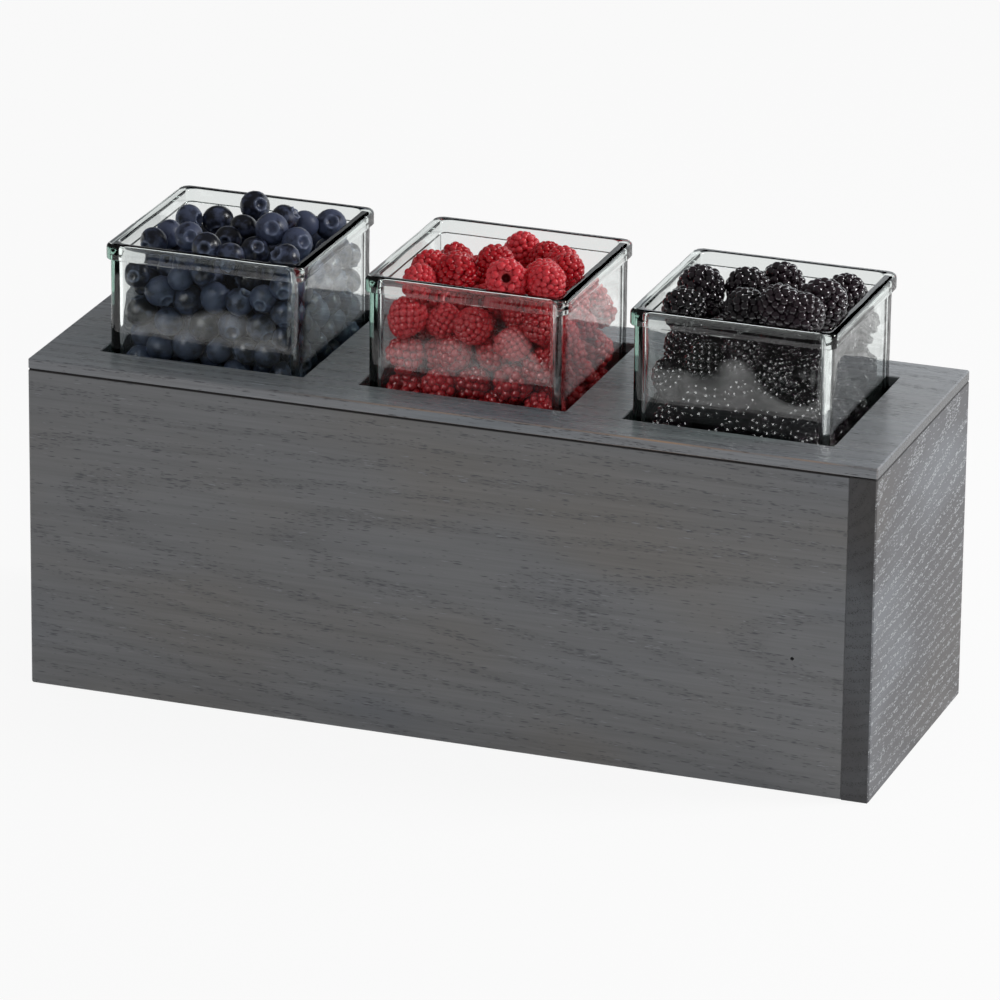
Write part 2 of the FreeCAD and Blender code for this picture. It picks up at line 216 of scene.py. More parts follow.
@dataclass(frozen=True)
class StainedOak:
    """Gray stained oak with open pores, partly filled with a pale wax.

    Growth rings are cylinders about a pith line beside the board, so faces, edges and end grain
    all cut the same solid pattern.
    """

    name: str
    lie: Lie
    low: Vector
    high: Vector
    pith_across: float = 0.03
    pith_through: float = 0.05
    lean_across: float = 0.02
    lean_through: float = 0.12
    ring_width: float = 6.0 * MM
    early_share: float = 0.34
    stain: Colour = linear(131, 132, 134)
    warm_stain: Colour = linear(131, 129, 127)
    cool_stain: Colour = linear(125, 128, 133)
    pore_wax: Colour = linear(152, 154, 158)
    pore_dark: Colour = linear(94, 95, 100)
    end_grain: float = 0.52
    bare_wood: Colour = linear(190, 150, 118)
    # Painted shade: the dark colour laid along the seam where the top board meets the box, where shadow falls.
    painted_seam_shade: Colour = linear(58, 56, 56)
    wax_share: float = 0.14
    pore_length: float = 6.0 * MM
    sway: float = 16 * MM
    pores: float = 0.6
    fibre_show: float = 0.3
    streak_show: float = 0.45
    stray_pores: float = 0.08
    roughness: float = 0.5
    gloss: float = 0.35
    relief: float = 0.1 * MM
    wear: float = 0.0
    worn_from: float = -0.4
    seam_shade_below: bool = False
    seam_shade_above: bool = False
    seed: float = 0.0

    def cut(self, sheet: NodeSheet) -> tuple[bpy.types.NodeSocket, ...]:
        """Turn object coordinates into the board's own.

        Args:
            sheet: The material's sheet.

        Returns:
            The vector (along, across, through), then its three numbers.
        """
        place = sheet.add("ShaderNodeTexCoord").outputs["Object"]
        apart = sheet.add("ShaderNodeSeparateXYZ", {0: place})
        along, across, through = (apart.outputs[axis] for axis in self.lie.value)
        own = sheet.add("ShaderNodeCombineXYZ", {0: along, 1: across, 2: through}).outputs[0]
        return own, along, across, through

    def rings(self, sheet: NodeSheet) -> tuple[bpy.types.NodeSocket, bpy.types.NodeSocket]:
        """The growth rings.

        Args:
            sheet: The material's sheet.

        Returns:
            The board's own coordinates and how far into a ring a point lies, 0 to 1.
        """
        own, along, across, through = self.cut(sheet)
        sway = sheet.noise(sheet.stretched(own, (5.0, 12.0, 12.0), (self.seed, 0.0, 0.0)), 1.0, 2.0)
        ripple = sheet.noise(sheet.stretched(own, (26.0, 120.0, 120.0), (0.0, self.seed, 0.0)), 1.0, 3.0)
        middle = (self.low + self.high) / 2
        axes = {"X": 0, "Y": 1, "Z": 2}
        across_pith = middle[axes[self.lie.value[1]]] + self.pith_across
        through_pith = middle[axes[self.lie.value[2]]] + self.pith_through
        side = sheet.math("SUBTRACT", sheet.math("MULTIPLY_ADD", along, self.lean_across, across), across_pith)
        deep = sheet.math("SUBTRACT", sheet.math("MULTIPLY_ADD", along, self.lean_through, through), through_pith)
        square = sheet.math("ADD", sheet.math("MULTIPLY", side, side), sheet.math("MULTIPLY", deep, deep))
        reach = sheet.math("SQRT", square)
        swayed = sheet.math("MULTIPLY_ADD", sway, self.sway, reach)
        rippled = sheet.math("MULTIPLY_ADD", ripple, 2.2 * MM, swayed)
        return own, sheet.math("FRACT", sheet.math("DIVIDE", rippled, self.ring_width))

    def pore_layer(self, sheet: NodeSheet, own: Value, early: Value, length: float, width: float,
                   shift: float) -> tuple[bpy.types.NodeSocket, bpy.types.NodeSocket]:
        """One layer of pores: short vessels cut open along the grain.

        Args:
            sheet: The material's sheet.
            own: The board's own coordinates.
            early: How much a point belongs to a ring's porous early wood.
            length: Length of a pore's cell.
            width: Width of a pore's cell.
            shift: Moves the layer's pattern.

        Returns:
            How much a point lies in a pore, and the pore's own random number.
        """
        scaled = sheet.stretched(own, (1 / length, 1 / width, 1 / width), (shift, shift, self.seed))
        cells = sheet.add("ShaderNodeTexVoronoi", {"Vector": scaled, "Scale": 1.0, "Randomness": 1.0})
        lot = sheet.add("ShaderNodeSeparateColor", {0: cells.outputs["Color"]})
        hole = sheet.ramp(cells.outputs["Distance"], 0.46, 0.2)
        share = sheet.math("MULTIPLY_ADD", early, self.pores, self.stray_pores * self.pores)
        there = sheet.math("LESS_THAN", lot.outputs[0], share)
        return sheet.math("MULTIPLY", hole, there), lot.outputs[1]

    def edge_room(self, sheet: NodeSheet) -> tuple[bpy.types.NodeSocket, bpy.types.NodeSocket]:
        """How near a point is to the board's arrises.

        Args:
            sheet: The material's sheet.

        Returns:
            The distance to the nearest arris, and object coordinates.
        """
        place = sheet.add("ShaderNodeTexCoord").outputs["Object"]
        middle = (self.low + self.high) / 2
        half = (self.high - self.low) / 2
        off = sheet.add("ShaderNodeVectorMath", {0: place, 1: tuple(middle)}, operation="SUBTRACT").outputs[0]
        size = sheet.add("ShaderNodeVectorMath", {0: off}, operation="ABSOLUTE").outputs[0]
        left = sheet.add("ShaderNodeVectorMath", {0: tuple(half), 1: size}, operation="SUBTRACT").outputs[0]
        x, y, z = sheet.add("ShaderNodeSeparateXYZ", {0: left}).outputs
        smaller, larger = sheet.math("MINIMUM", x, y), sheet.math("MAXIMUM", x, y)
        return sheet.math("MAXIMUM", smaller, sheet.math("MINIMUM", larger, z)), place

    def worn_edge(self, sheet: NodeSheet) -> bpy.types.NodeSocket:
        """How much a point lies on a rubbed arris of the board.

        Args:
            sheet: The material's sheet.

        Returns:
            The share of bare wood.
        """
        room, place = self.edge_room(sheet)
        edge = sheet.ramp(room, 0.8 * MM, 0.3 * MM)
        where = sheet.noise(sheet.stretched(place, (9.0, 9.0, 14.0), (self.seed,) * 3), 1.0, 3.0)
        x, y, _ = sheet.add("ShaderNodeSeparateXYZ", {0: place}).outputs
        rubbed = sheet.math("MULTIPLY", sheet.ramp(where, 0.4, 0.6), sheet.ramp(x, self.worn_from, self.worn_from + 0.12))
        rubbed = sheet.math("MULTIPLY", rubbed, sheet.ramp(y, self.low.y + 8 * MM, self.low.y + 4 * MM))
        return sheet.math("MULTIPLY", sheet.math("MULTIPLY", edge, rubbed), self.wear)

    def seam_shade_share(self, sheet: NodeSheet) -> bpy.types.NodeSocket | float:
        """How much a point lies in the painted seam shade: a dark line put where the top board meets the box, in place
        of the shadow in that seam.
        """
        height = sheet.add("ShaderNodeSeparateXYZ", {0: sheet.add("ShaderNodeTexCoord").outputs["Object"]}).outputs[2]
        if self.seam_shade_below:
            return sheet.ramp(height, self.low.z + 0.7 * MM, self.low.z + 0.3 * MM)
        if self.seam_shade_above:
            return sheet.ramp(height, self.high.z - 0.7 * MM, self.high.z - 0.3 * MM)
        return 0.0

    def end_cut(self, sheet: NodeSheet) -> bpy.types.NodeSocket:
        """1 on the faces that cut across the grain, else 0."""
        normal = sheet.add("ShaderNodeTexCoord").outputs["Normal"]
        apart = sheet.add("ShaderNodeSeparateXYZ", {0: normal})
        along = sheet.math("ABSOLUTE", apart.outputs[self.lie.value[0]])
        return sheet.math("GREATER_THAN", along, 0.8)

    def material(self) -> bpy.types.Material:
        """Make the finish.

        Returns:
            The material.
        """
        material, sheet, shader = new_material(self.name)
        own, ring = self.rings(sheet)
        early = sheet.math("MULTIPLY", sheet.ramp(ring, 0.0, 0.08), sheet.ramp(ring, self.early_share + 0.1, self.early_share))
        end = self.end_cut(sheet)
        porous = sheet.math("MULTIPLY", early, sheet.math("MULTIPLY_ADD", end, -0.5, 1.0))
        long_pore, lot = self.pore_layer(sheet, own, porous, self.pore_length, 0.7 * MM, 0.0)
        short_pore, short_lot = self.pore_layer(sheet, own, porous, self.pore_length / 2, 0.55 * MM, 7.0)
        pore = sheet.math("MAXIMUM", long_pore, sheet.math("MULTIPLY", short_pore, 0.8))
        fibre = sheet.noise(sheet.stretched(own, (22.0, 1100.0, 1100.0), (0.0, 0.0, self.seed)), 1.0, 3.0, 0.6)
        streak = sheet.noise(sheet.stretched(own, (9.0, 260.0, 260.0), (self.seed, 3.0, 0.0)), 1.0, 4.0, 0.62)
        cloud = sheet.noise(sheet.stretched(own, (6.0, 14.0, 14.0), (self.seed, 0.0, 9.0)), 1.0, 2.0)
        tone = sheet.mix(sheet.ramp(cloud, 0.45, 0.68), self.stain, self.warm_stain)
        tone = sheet.mix(sheet.ramp(cloud, 0.46, 0.3), tone, self.cool_stain)
        light = sheet.math("MULTIPLY_ADD", sheet.math("SUBTRACT", fibre, 0.5), self.fibre_show, 1.0)
        light = sheet.math("MULTIPLY_ADD", sheet.math("SUBTRACT", streak, 0.5), self.streak_show, light)
        light = sheet.math("MULTIPLY_ADD", sheet.math("SUBTRACT", 0.3, early), 0.06, light)
        light = sheet.math("MULTIPLY", light, sheet.math("MULTIPLY_ADD", end, self.end_grain - 1.0, 1.0))
        shade = sheet.add("ShaderNodeCombineXYZ", {0: light, 1: light, 2: light}).outputs[0]
        tone = sheet.mix(1.0, tone, shade, "MULTIPLY")
        waxed = sheet.math("MULTIPLY", sheet.math("LESS_THAN", lot, self.wax_share), sheet.math("SUBTRACT", 1.0, end))
        pit = sheet.mix(end, self.pore_dark, linear(46, 46, 48))
        filled = sheet.mix(waxed, pit, self.pore_wax)
        depth = sheet.math("MULTIPLY", pore, sheet.math("MULTIPLY_ADD", short_lot, 0.5, 0.5))
        tone = sheet.mix(depth, tone, filled)
        tone = sheet.mix(self.worn_edge(sheet), tone, self.bare_wood)
        # Painted shade along the seam between the top board and the box.
        tone = sheet.mix(self.seam_shade_share(sheet), tone, self.painted_seam_shade)
        grain = sheet.math("MULTIPLY_ADD", fibre, 0.35, sheet.math("MULTIPLY", streak, 0.3))
        height = sheet.math("SUBTRACT", grain, sheet.math("MULTIPLY", pore, 0.7))
        bump = sheet.add("ShaderNodeBump", {"Strength": 1.0, "Distance": self.relief, "Height": height})
        sheet.put(shader.inputs["Base Color"], tone)
        sheet.put(shader.inputs["Roughness"], sheet.math("MULTIPLY_ADD", streak, 0.2, self.roughness - 0.1))
        sheet.put(shader.inputs["Normal"], bump.outputs[0])
        shader.inputs["Specular IOR Level"].default_value = self.gloss
        return material


@dataclass(frozen=True)
class JarGlass:
    """Clear pressed glass with a green cast where it is thick, and smeared with juice where fruit lies on it."""

    name: str = "jar_glass"
    ior: float = 1.5
    roughness: float = 0.0
    cast: Colour = (0.78, 0.89, 0.85)
    density: float = 52.0
    smear: float = 0.06

    def material(self) -> bpy.types.Material:
        """Make the finish.

        Returns:
            The material.
        """
        material = bpy.data.materials.new(self.name)
        material.use_nodes = True
        sheet = NodeSheet(material.node_tree)
        glass = sheet.add("ShaderNodeBsdfPrincipled")
        glass.inputs["Base Color"].default_value = (1.0, 1.0, 1.0, 1.0)
        sheet.put(glass.inputs["Roughness"], self.smeared(sheet))
        glass.inputs["IOR"].default_value = self.ior
        glass.inputs["Transmission Weight"].default_value = 1.0
        clear = sheet.add("ShaderNodeBsdfTransparent")
        clear.inputs["Color"].default_value = (0.9, 0.95, 0.93, 1.0)
        path = sheet.add("ShaderNodeLightPath").outputs
        lit = sheet.math("MAXIMUM", path["Is Shadow Ray"], path["Is Diffuse Ray"])
        surface = sheet.add("ShaderNodeMixShader", {0: lit, 1: glass.outputs[0], 2: clear.outputs[0]})
        inside = sheet.add("ShaderNodeVolumeAbsorption")
        inside.inputs["Color"].default_value = (*self.cast, 1.0)
        inside.inputs["Density"].default_value = self.density
        sheet.add("ShaderNodeOutputMaterial", {"Surface": surface.outputs[0], "Volume": inside.outputs[0]})
        return material

    def smeared(self, sheet: NodeSheet) -> bpy.types.NodeSocket:
        """How rough the glass is: smooth outside, and smeared inside where the fruit touches it.

        Args:
            sheet: The material's sheet.

        Returns:
            The roughness.
        """
        wet = sheet.add("ShaderNodeAttribute", attribute_name="wet").outputs["Fac"]
        place = sheet.add("ShaderNodeTexCoord").outputs["Object"]
        film = sheet.noise(sheet.stretched(place, (60.0, 60.0, 110.0)), 1.0, 3.0)
        share = sheet.math("MULTIPLY", wet, sheet.ramp(film, 0.42, 0.62))
        return sheet.math("MULTIPLY_ADD", share, self.smear, self.roughness)


@dataclass(frozen=True)
class BerrySkin:
    """The skin of a fruit: its own colour, a paler bloom, and a second colour where "part" is 1."""

    name: str
    skin: Colour
    deep: Colour
    bloom: Colour
    part_colour: Colour
    bloom_share: float = 0.5
    bloom_scale: float = 90.0
    roughness: float = 0.4
    subsurface: float = 0.0
    coat: float = 0.0
    relief: float = 0.05 * MM

    def material(self) -> bpy.types.Material:
        """Make the finish.

        Returns:
            The material.
        """
        material, sheet, shader = new_material(self.name)
        place = sheet.add("ShaderNodeTexCoord").outputs["Object"]
        tone = sheet.add("ShaderNodeAttribute", attribute_name="tone").outputs["Fac"]
        part = sheet.add("ShaderNodeAttribute", attribute_name="part").outputs["Fac"]
        own = sheet.mix(tone, self.deep, self.skin)
        dust = sheet.noise(sheet.stretched(place, (1.0, 1.0, 1.0)), self.bloom_scale, 4.0, 0.6)
        lifted = sheet.math("MULTIPLY_ADD", tone, 0.22, dust)
        rubbed = sheet.math("MULTIPLY", sheet.ramp(lifted, 0.48, 0.72), self.bloom_share)
        colour = sheet.mix(rubbed, own, self.bloom)
        colour = sheet.mix(part, colour, self.part_colour)
        fine = sheet.noise(place, 900.0, 3.0)
        bump = sheet.add("ShaderNodeBump", {"Strength": 1.0, "Distance": self.relief, "Height": fine})
        sheet.put(shader.inputs["Base Color"], colour)
        sheet.put(shader.inputs["Roughness"], sheet.math("MULTIPLY_ADD", rubbed, 0.3, self.roughness))
        sheet.put(shader.inputs["Normal"], bump.outputs[0])
        shader.inputs["Subsurface Weight"].default_value = self.subsurface
        shader.inputs["Subsurface Radius"].default_value = (1.0, 0.25, 0.2)
        shader.inputs["Subsurface Scale"].default_value = 3 * MM
        shader.inputs["Coat Weight"].default_value = self.coat
        shader.inputs["Coat Roughness"].default_value = 0.04
        return material


@dataclass(frozen=True)
class PlainMetal:
    """Zinc plated steel with a fine mottle."""

    name: str = "screw_zinc"
    colour: Colour = (0.62, 0.61, 0.58)
    roughness: float = 0.38

    def material(self) -> bpy.types.Material:
        """Make the finish.

        Returns:
            The material.
        """
        material, sheet, shader = new_material(self.name)
        place = sheet.add("ShaderNodeTexCoord").outputs["Object"]
        mottle = sheet.noise(place, 700.0, 3.0)
        sheet.put(shader.inputs["Base Color"], sheet.mix(mottle, self.colour, (0.45, 0.44, 0.42)))
        sheet.put(shader.inputs["Roughness"], sheet.math("MULTIPLY_ADD", mottle, 0.2, self.roughness - 0.1))
        shader.inputs["Metallic"].default_value = 1.0
        return material


@dataclass
class Viewpoint:
    """The photograph's camera, fitted to the box's corners, the cut-outs and the jar rims."""

    focal_px: float = 7652.0
    image_px: float = 1000.0
    sensor_mm: float = 36.0
    azimuth: float = 19.57
    elevation: float = 20.3
    roll: float = 0.63
    distance: float = 3.304
    aim_height: float = 74.66 * MM
    aim_right: float = 1.23 * MM
    aim_up: float = 11.84 * MM
    ahead: Vector = field(init=False)
    right: Vector = field(init=False)
    up: Vector = field(init=False)
    place: Vector = field(init=False)

    def __post_init__(self) -> None:
        """Work out the camera's directions and place."""
        turn, tip, roll = (math.radians(angle) for angle in (-self.azimuth, self.elevation, self.roll))
        self.ahead = Vector((math.sin(turn) * math.cos(tip), math.cos(turn) * math.cos(tip), -math.sin(tip)))
        level = Vector((math.cos(turn), -math.sin(turn), 0.0))
        rise = level.cross(self.ahead)
        aim = Vector((0.0, 0.0, self.aim_height)) + level * self.aim_right + rise * self.aim_up
        self.right = level * math.cos(roll) + rise * math.sin(roll)
        self.up = rise * math.cos(roll) - level * math.sin(roll)
        self.place = aim - self.ahead * self.distance

    def towards(self, across_px: float, down_px: float) -> Vector:
        """The direction from the camera through a pixel of the photograph."""
        middle = self.image_px / 2
        side = self.right * ((across_px - middle) / self.focal_px)
        rise = self.up * ((middle - down_px) / self.focal_px)
        return (self.ahead + side + rise).normalized()

    def build(self) -> None:
        """Make the camera and set it as the scene's."""
        camera = bpy.data.cameras.new("photo_camera")
        camera.sensor_width = self.sensor_mm
        camera.lens = self.focal_px / self.image_px * self.sensor_mm
        camera.clip_end = 100.0
        holder = bpy.data.objects.new("photo_camera", camera)
        bpy.context.scene.collection.objects.link(holder)
        holder.matrix_world = Matrix((
            (self.right.x, self.up.x, -self.ahead.x, self.place.x),
            (self.right.y, self.up.y, -self.ahead.y, self.place.y),
            (self.right.z, self.up.z, -self.ahead.z, self.place.z),
            (0.0, 0.0, 0.0, 1.0)))
        bpy.context.scene.camera = holder


@dataclass
class Studio:
    """A white floor, a soft room, a card behind that only gloss shows, and one lamp."""

    floor_half: float = 4.0
    floor_drop: float = 0.05 * MM
    floor_white: float = 0.86
    floor_glow: float = 0.9
    through_glass: float = 0.85
    mirrored_front: float = 1.12
    mirrored_side: float = 0.85
    mirrored_far: float = 0.05
    bright_floor_reach: float = 0.498
    edge_bow: float = 0.013
    mirror_shift: float = 0.161
    jar_pitch: float = 0.1185
    sky: float = 0.5
    mirrored_sky: float = 0.3
    card_glow: float = 1.2
    card_place: float = 1.1
    card_top: float = 0.625
    front_sky: float = 0.46
    overhead: float = 0.95
    window_glow: float = 4.5
    window_way: tuple[float, float, float] = (-0.3, -0.742, 0.6)
    lamp_power: float = 6.0
    lamp_size: float = 0.3
    lamp_place: Vector = field(default_factory=lambda: Vector((0.95, 0.25, 0.75)))

    def build(self) -> None:
        """Make the floor, the room, the card and the lamp."""
        self.build_floor()
        self.build_room()
        self.build_card()
        self.build_lamp()

    def sorted_rays(self, sheet: NodeSheet) -> tuple[bpy.types.NodeSocket, ...]:
        """Tell what is seen straight through the glass from what is seen in a polished face.

        The inner side of a jar's wall and gloss on a fruit behind it count as polished faces too.

        Args:
            sheet: The floor's or the room's sheet.

        Returns:
            Whether a ray came through glass, whether it came off gloss, and whether that gloss is
            on a fruit behind a wall.
        """
        path = sheet.add("ShaderNodeLightPath").outputs
        bent = path["Is Transmission Ray"]
        inner = sheet.math("GREATER_THAN", path["Glossy Depth"], 0.5)
        deep = sheet.math("MULTIPLY", inner, sheet.math("GREATER_THAN", path["Transmission Depth"], 2.5))
        matt = sheet.math("GREATER_THAN", path["Diffuse Depth"], 0.5)
        plain = sheet.math("SUBTRACT", 1.0, sheet.math("MAXIMUM", inner, matt))
        through = sheet.math("MULTIPLY", bent, plain)
        glossy = sheet.math("MAXIMUM", path["Is Glossy Ray"], sheet.math("MULTIPLY", bent, inner))
        straight = sheet.math("SUBTRACT", 1.0, through)
        return through, sheet.math("MULTIPLY", glossy, straight), sheet.math("MULTIPLY", bent, deep)

    def mirrored(self, sheet: NodeSheet) -> bpy.types.NodeSocket:
        """How bright a point of the floor looks in a reflection.

        Args:
            sheet: The floor material's sheet.

        Returns:
            The brightness: dim far in front, gray near in front and white beside and behind.
        """
        place = sheet.add("ShaderNodeTexCoord").outputs["Object"]
        x, y, _ = sheet.add("ShaderNodeSeparateXYZ", {0: place}).outputs
        wavy = sheet.noise(sheet.stretched(place, (7.0, 7.0, 7.0)), 1.0, 1.0)
        edge = sheet.math("MULTIPLY_ADD", sheet.math("SUBTRACT", wavy, 0.5), 0.04, y)
        turn = sheet.math("MULTIPLY", sheet.math("ADD", x, self.mirror_shift), 2 * math.pi / self.jar_pitch)
        edge = sheet.math("MULTIPLY_ADD", sheet.math("COSINE", turn), self.edge_bow, edge)
        near = sheet.ramp(edge, -self.bright_floor_reach - 0.012, -self.bright_floor_reach + 0.012)
        beside = sheet.math("MULTIPLY_ADD", x, 0.6, y)
        level = sheet.ramp(beside, -0.15, 0.2, (self.mirrored_front, self.mirrored_side))
        patches = sheet.noise(sheet.stretched(place, (34.0, 46.0, 1.0)), 1.0, 5.0, 0.68)
        streaked = sheet.math("MULTIPLY", level, sheet.ramp(patches, 0.34, 0.68, (0.6, 1.5)))
        return sheet.math("MULTIPLY_ADD", near, sheet.math("SUBTRACT", streaked, self.mirrored_far), self.mirrored_far)

    def build_floor(self) -> None:
        """A white floor that keeps a faint shadow of the object, and that is clear from beneath."""
        half, low = self.floor_half, -self.floor_drop
        mesh = bpy.data.meshes.new("floor")
        corners = [(-half, -half, low), (half, -half, low), (half, half, low), (-half, half, low)]
        mesh.from_pydata(corners, [], [(0, 1, 2, 3)])
        floor = bpy.data.objects.new("floor", mesh)
        bpy.context.scene.collection.objects.link(floor)
        material = bpy.data.materials.new("floor_white")
        material.use_nodes = True
        sheet = NodeSheet(material.node_tree)
        path = sheet.add("ShaderNodeLightPath").outputs
        through, glossy, _ = self.sorted_rays(sheet)
        bent = sheet.math("MULTIPLY", through, self.through_glass)
        mirrored = sheet.math("MULTIPLY", glossy, self.mirrored(sheet))
        strength = sheet.math("ADD", path["Is Camera Ray"], sheet.math("ADD", bent, mirrored))
        seen = sheet.math("MULTIPLY", path["Is Camera Ray"], self.floor_glow)
        shown = sheet.math("MAXIMUM", seen, sheet.math("MAXIMUM", through, glossy))
        matt = sheet.add("ShaderNodeBsdfDiffuse", {"Color": (self.floor_white,) * 3})
        glow = sheet.add("ShaderNodeEmission", {"Color": (1.0, 1.0, 1.0), "Strength": strength})
        above = sheet.add("ShaderNodeMixShader", {0: shown, 1: matt.outputs[0], 2: glow.outputs[0]})
        beneath = sheet.add("ShaderNodeNewGeometry").outputs["Backfacing"]
        clear = sheet.add("ShaderNodeBsdfTransparent")
        surface = sheet.add("ShaderNodeMixShader", {0: beneath, 1: above.outputs[0], 2: clear.outputs[0]})
        sheet.add("ShaderNodeOutputMaterial", {"Surface": surface.outputs[0]})
        mesh.materials.append(material)

    def build_room(self) -> None:
        """A world that the camera sees as white, and that lights the object from the sides."""
        world = bpy.data.worlds.new("soft_room")
        bpy.context.scene.world = world
        world.use_nodes = True
        sheet = NodeSheet(world.node_tree)
        path = sheet.add("ShaderNodeLightPath").outputs
        towards = sheet.add("ShaderNodeTexCoord").outputs["Generated"]
        x, y, z = sheet.add("ShaderNodeSeparateXYZ", {0: towards}).outputs
        back = sheet.ramp(sheet.math("MULTIPLY_ADD", x, 0.55, y), -0.35, 0.3, (self.front_sky, self.sky))
        level = sheet.math("MULTIPLY", back, sheet.ramp(z, 0.3, 0.9, (1.0, self.overhead)))
        through, glossy, inner = self.sorted_rays(sheet)
        level = sheet.math("MULTIPLY", level, sheet.math("MULTIPLY_ADD", glossy, self.mirrored_sky - 1.0, 1.0))
        ahead = sheet.add("ShaderNodeVectorMath", {0: towards, 1: self.window_way}, operation="DOT_PRODUCT").outputs[1]
        window = sheet.math("MULTIPLY", sheet.ramp(ahead, 0.88, 0.94), self.window_glow)
        level = sheet.math("MULTIPLY_ADD", window, inner, level)
        gap = sheet.math("SUBTRACT", self.through_glass, level)
        level = sheet.math("MULTIPLY_ADD", through, gap, level)
        strength = sheet.math("MAXIMUM", level, path["Is Camera Ray"])
        glow = sheet.add("ShaderNodeBackground", {"Color": (1.0, 1.0, 1.0), "Strength": strength})
        sheet.add("ShaderNodeOutputWorld", {"Surface": glow.outputs[0]})

    def build_card(self) -> None:
        """A pale card behind the box, brighter to the right, that shows in polished faces alone."""
        half, low, high = 1.5, 0.02, 1.4
        mesh = bpy.data.meshes.new("back_card")
        at = self.card_place
        mesh.from_pydata([(-half, at, low), (half, at, low), (half, at, high), (-half, at, high)], [], [(0, 1, 2, 3)])
        card = bpy.data.objects.new("back_card", mesh)
        bpy.context.scene.collection.objects.link(card)
        for seen in ("visible_camera", "visible_diffuse", "visible_transmission", "visible_shadow"):
            setattr(card, seen, False)
        material = bpy.data.materials.new("card_pale")
        material.use_nodes = True
        sheet = NodeSheet(material.node_tree)
        place = sheet.add("ShaderNodeTexCoord").outputs["Object"]
        x, _, z = sheet.add("ShaderNodeSeparateXYZ", {0: place}).outputs
        level = sheet.math("MULTIPLY", sheet.ramp(x, -0.58, -0.12, (0.3, 1.0)), sheet.ramp(z, self.card_top, self.card_top - 0.015))
        strength = sheet.math("MULTIPLY", level, self.card_glow)
        glow = sheet.add("ShaderNodeEmission", {"Color": (0.93, 0.97, 1.0), "Strength": strength})
        sheet.add("ShaderNodeOutputMaterial", {"Surface": glow.outputs[0]})
        mesh.materials.append(material)

    def build_lamp(self) -> None:
        """A soft lamp, to the right of the box and a little above it."""
        lamp = bpy.data.lights.new("soft_lamp", "AREA")
        lamp.energy = self.lamp_power
        lamp.size = self.lamp_size
        holder = bpy.data.objects.new("soft_lamp", lamp)
        bpy.context.scene.collection.objects.link(holder)
        holder.location = self.lamp_place
        aim = Vector((0.0, 0.0, 0.1)) - self.lamp_place
        holder.rotation_mode = "QUATERNION"
        holder.rotation_quaternion = aim.to_track_quat("-Z", "Y")


def link_mesh(name: str, mesh: bpy.types.Mesh, smooth: bool = True) -> bpy.types.Object:
    """Put a mesh into the scene as a piece.

    Args:
        name: The piece's name.
        mesh: Its mesh, already in place.
        smooth: Whether its faces are shaded smooth.

    Returns:
        The piece.
    """
    piece = bpy.data.objects.new(name, mesh)
    bpy.context.scene.collection.objects.link(piece)
    for face in mesh.polygons:
        face.use_smooth = smooth
    return piece


def set_inputs(modifier: bpy.types.NodesModifier, values: dict[str, object]) -> None:
    """Set the named inputs of a Geometry Nodes modifier by their sockets' identifiers."""
    for item in modifier.node_group.interface.items_tree:
        if item.item_type == "SOCKET" and item.in_out == "INPUT" and item.name in values:
            modifier[item.identifier] = values[item.name]


def run_tree(piece: bpy.types.Object, tree: bpy.types.NodeTree, values: dict[str, object]) -> bpy.types.Mesh:
    """Run a geometry tree on a piece and keep the result as a plain mesh.

    Args:
        piece: The object that the tree starts from.
        tree: The geometry tree.
        values: Its named inputs.

    Returns:
        The finished mesh.
    """
    modifier = piece.modifiers.new(tree.name, "NODES")
    modifier.node_group = tree
    set_inputs(modifier, values)
    graph = bpy.context.evaluated_depsgraph_get()
    mesh = bpy.data.meshes.new_from_object(piece.evaluated_get(graph), depsgraph=graph)
    piece.modifiers.remove(modifier)
    return mesh


def geometry_tree(name: str, sockets: dict[str, str]) -> tuple[NodeSheet, bpy.types.Node]:
    """An empty geometry tree with named inputs.

    Args:
        name: The tree's name.
        sockets: Its inputs beside the geometry: name to socket type.

    Returns:
        The tree's sheet and its input node.
    """
    tree = bpy.data.node_groups.new(name, "GeometryNodeTree")
    sheet = NodeSheet(tree)
    tree.interface.new_socket("Geometry", in_out="INPUT", socket_type="NodeSocketGeometry")
    for label, kind in sockets.items():
        tree.interface.new_socket(label, in_out="INPUT", socket_type=kind)
    tree.interface.new_socket("Geometry", in_out="OUTPUT", socket_type="NodeSocketGeometry")
    return sheet, sheet.add("NodeGroupInput")


def end_tree(sheet: NodeSheet, geometry: Value, material: Value) -> bpy.types.NodeTree:
    """Close a geometry tree with Realize Instances and Set Material."""
    real = sheet.add("GeometryNodeRealizeInstances", {0: geometry})
    dressed = sheet.add("GeometryNodeSetMaterial", {"Geometry": real.outputs[0], "Material": material})
    sheet.add("NodeGroupOutput", {0: dressed.outputs[0]})
    return sheet.tree


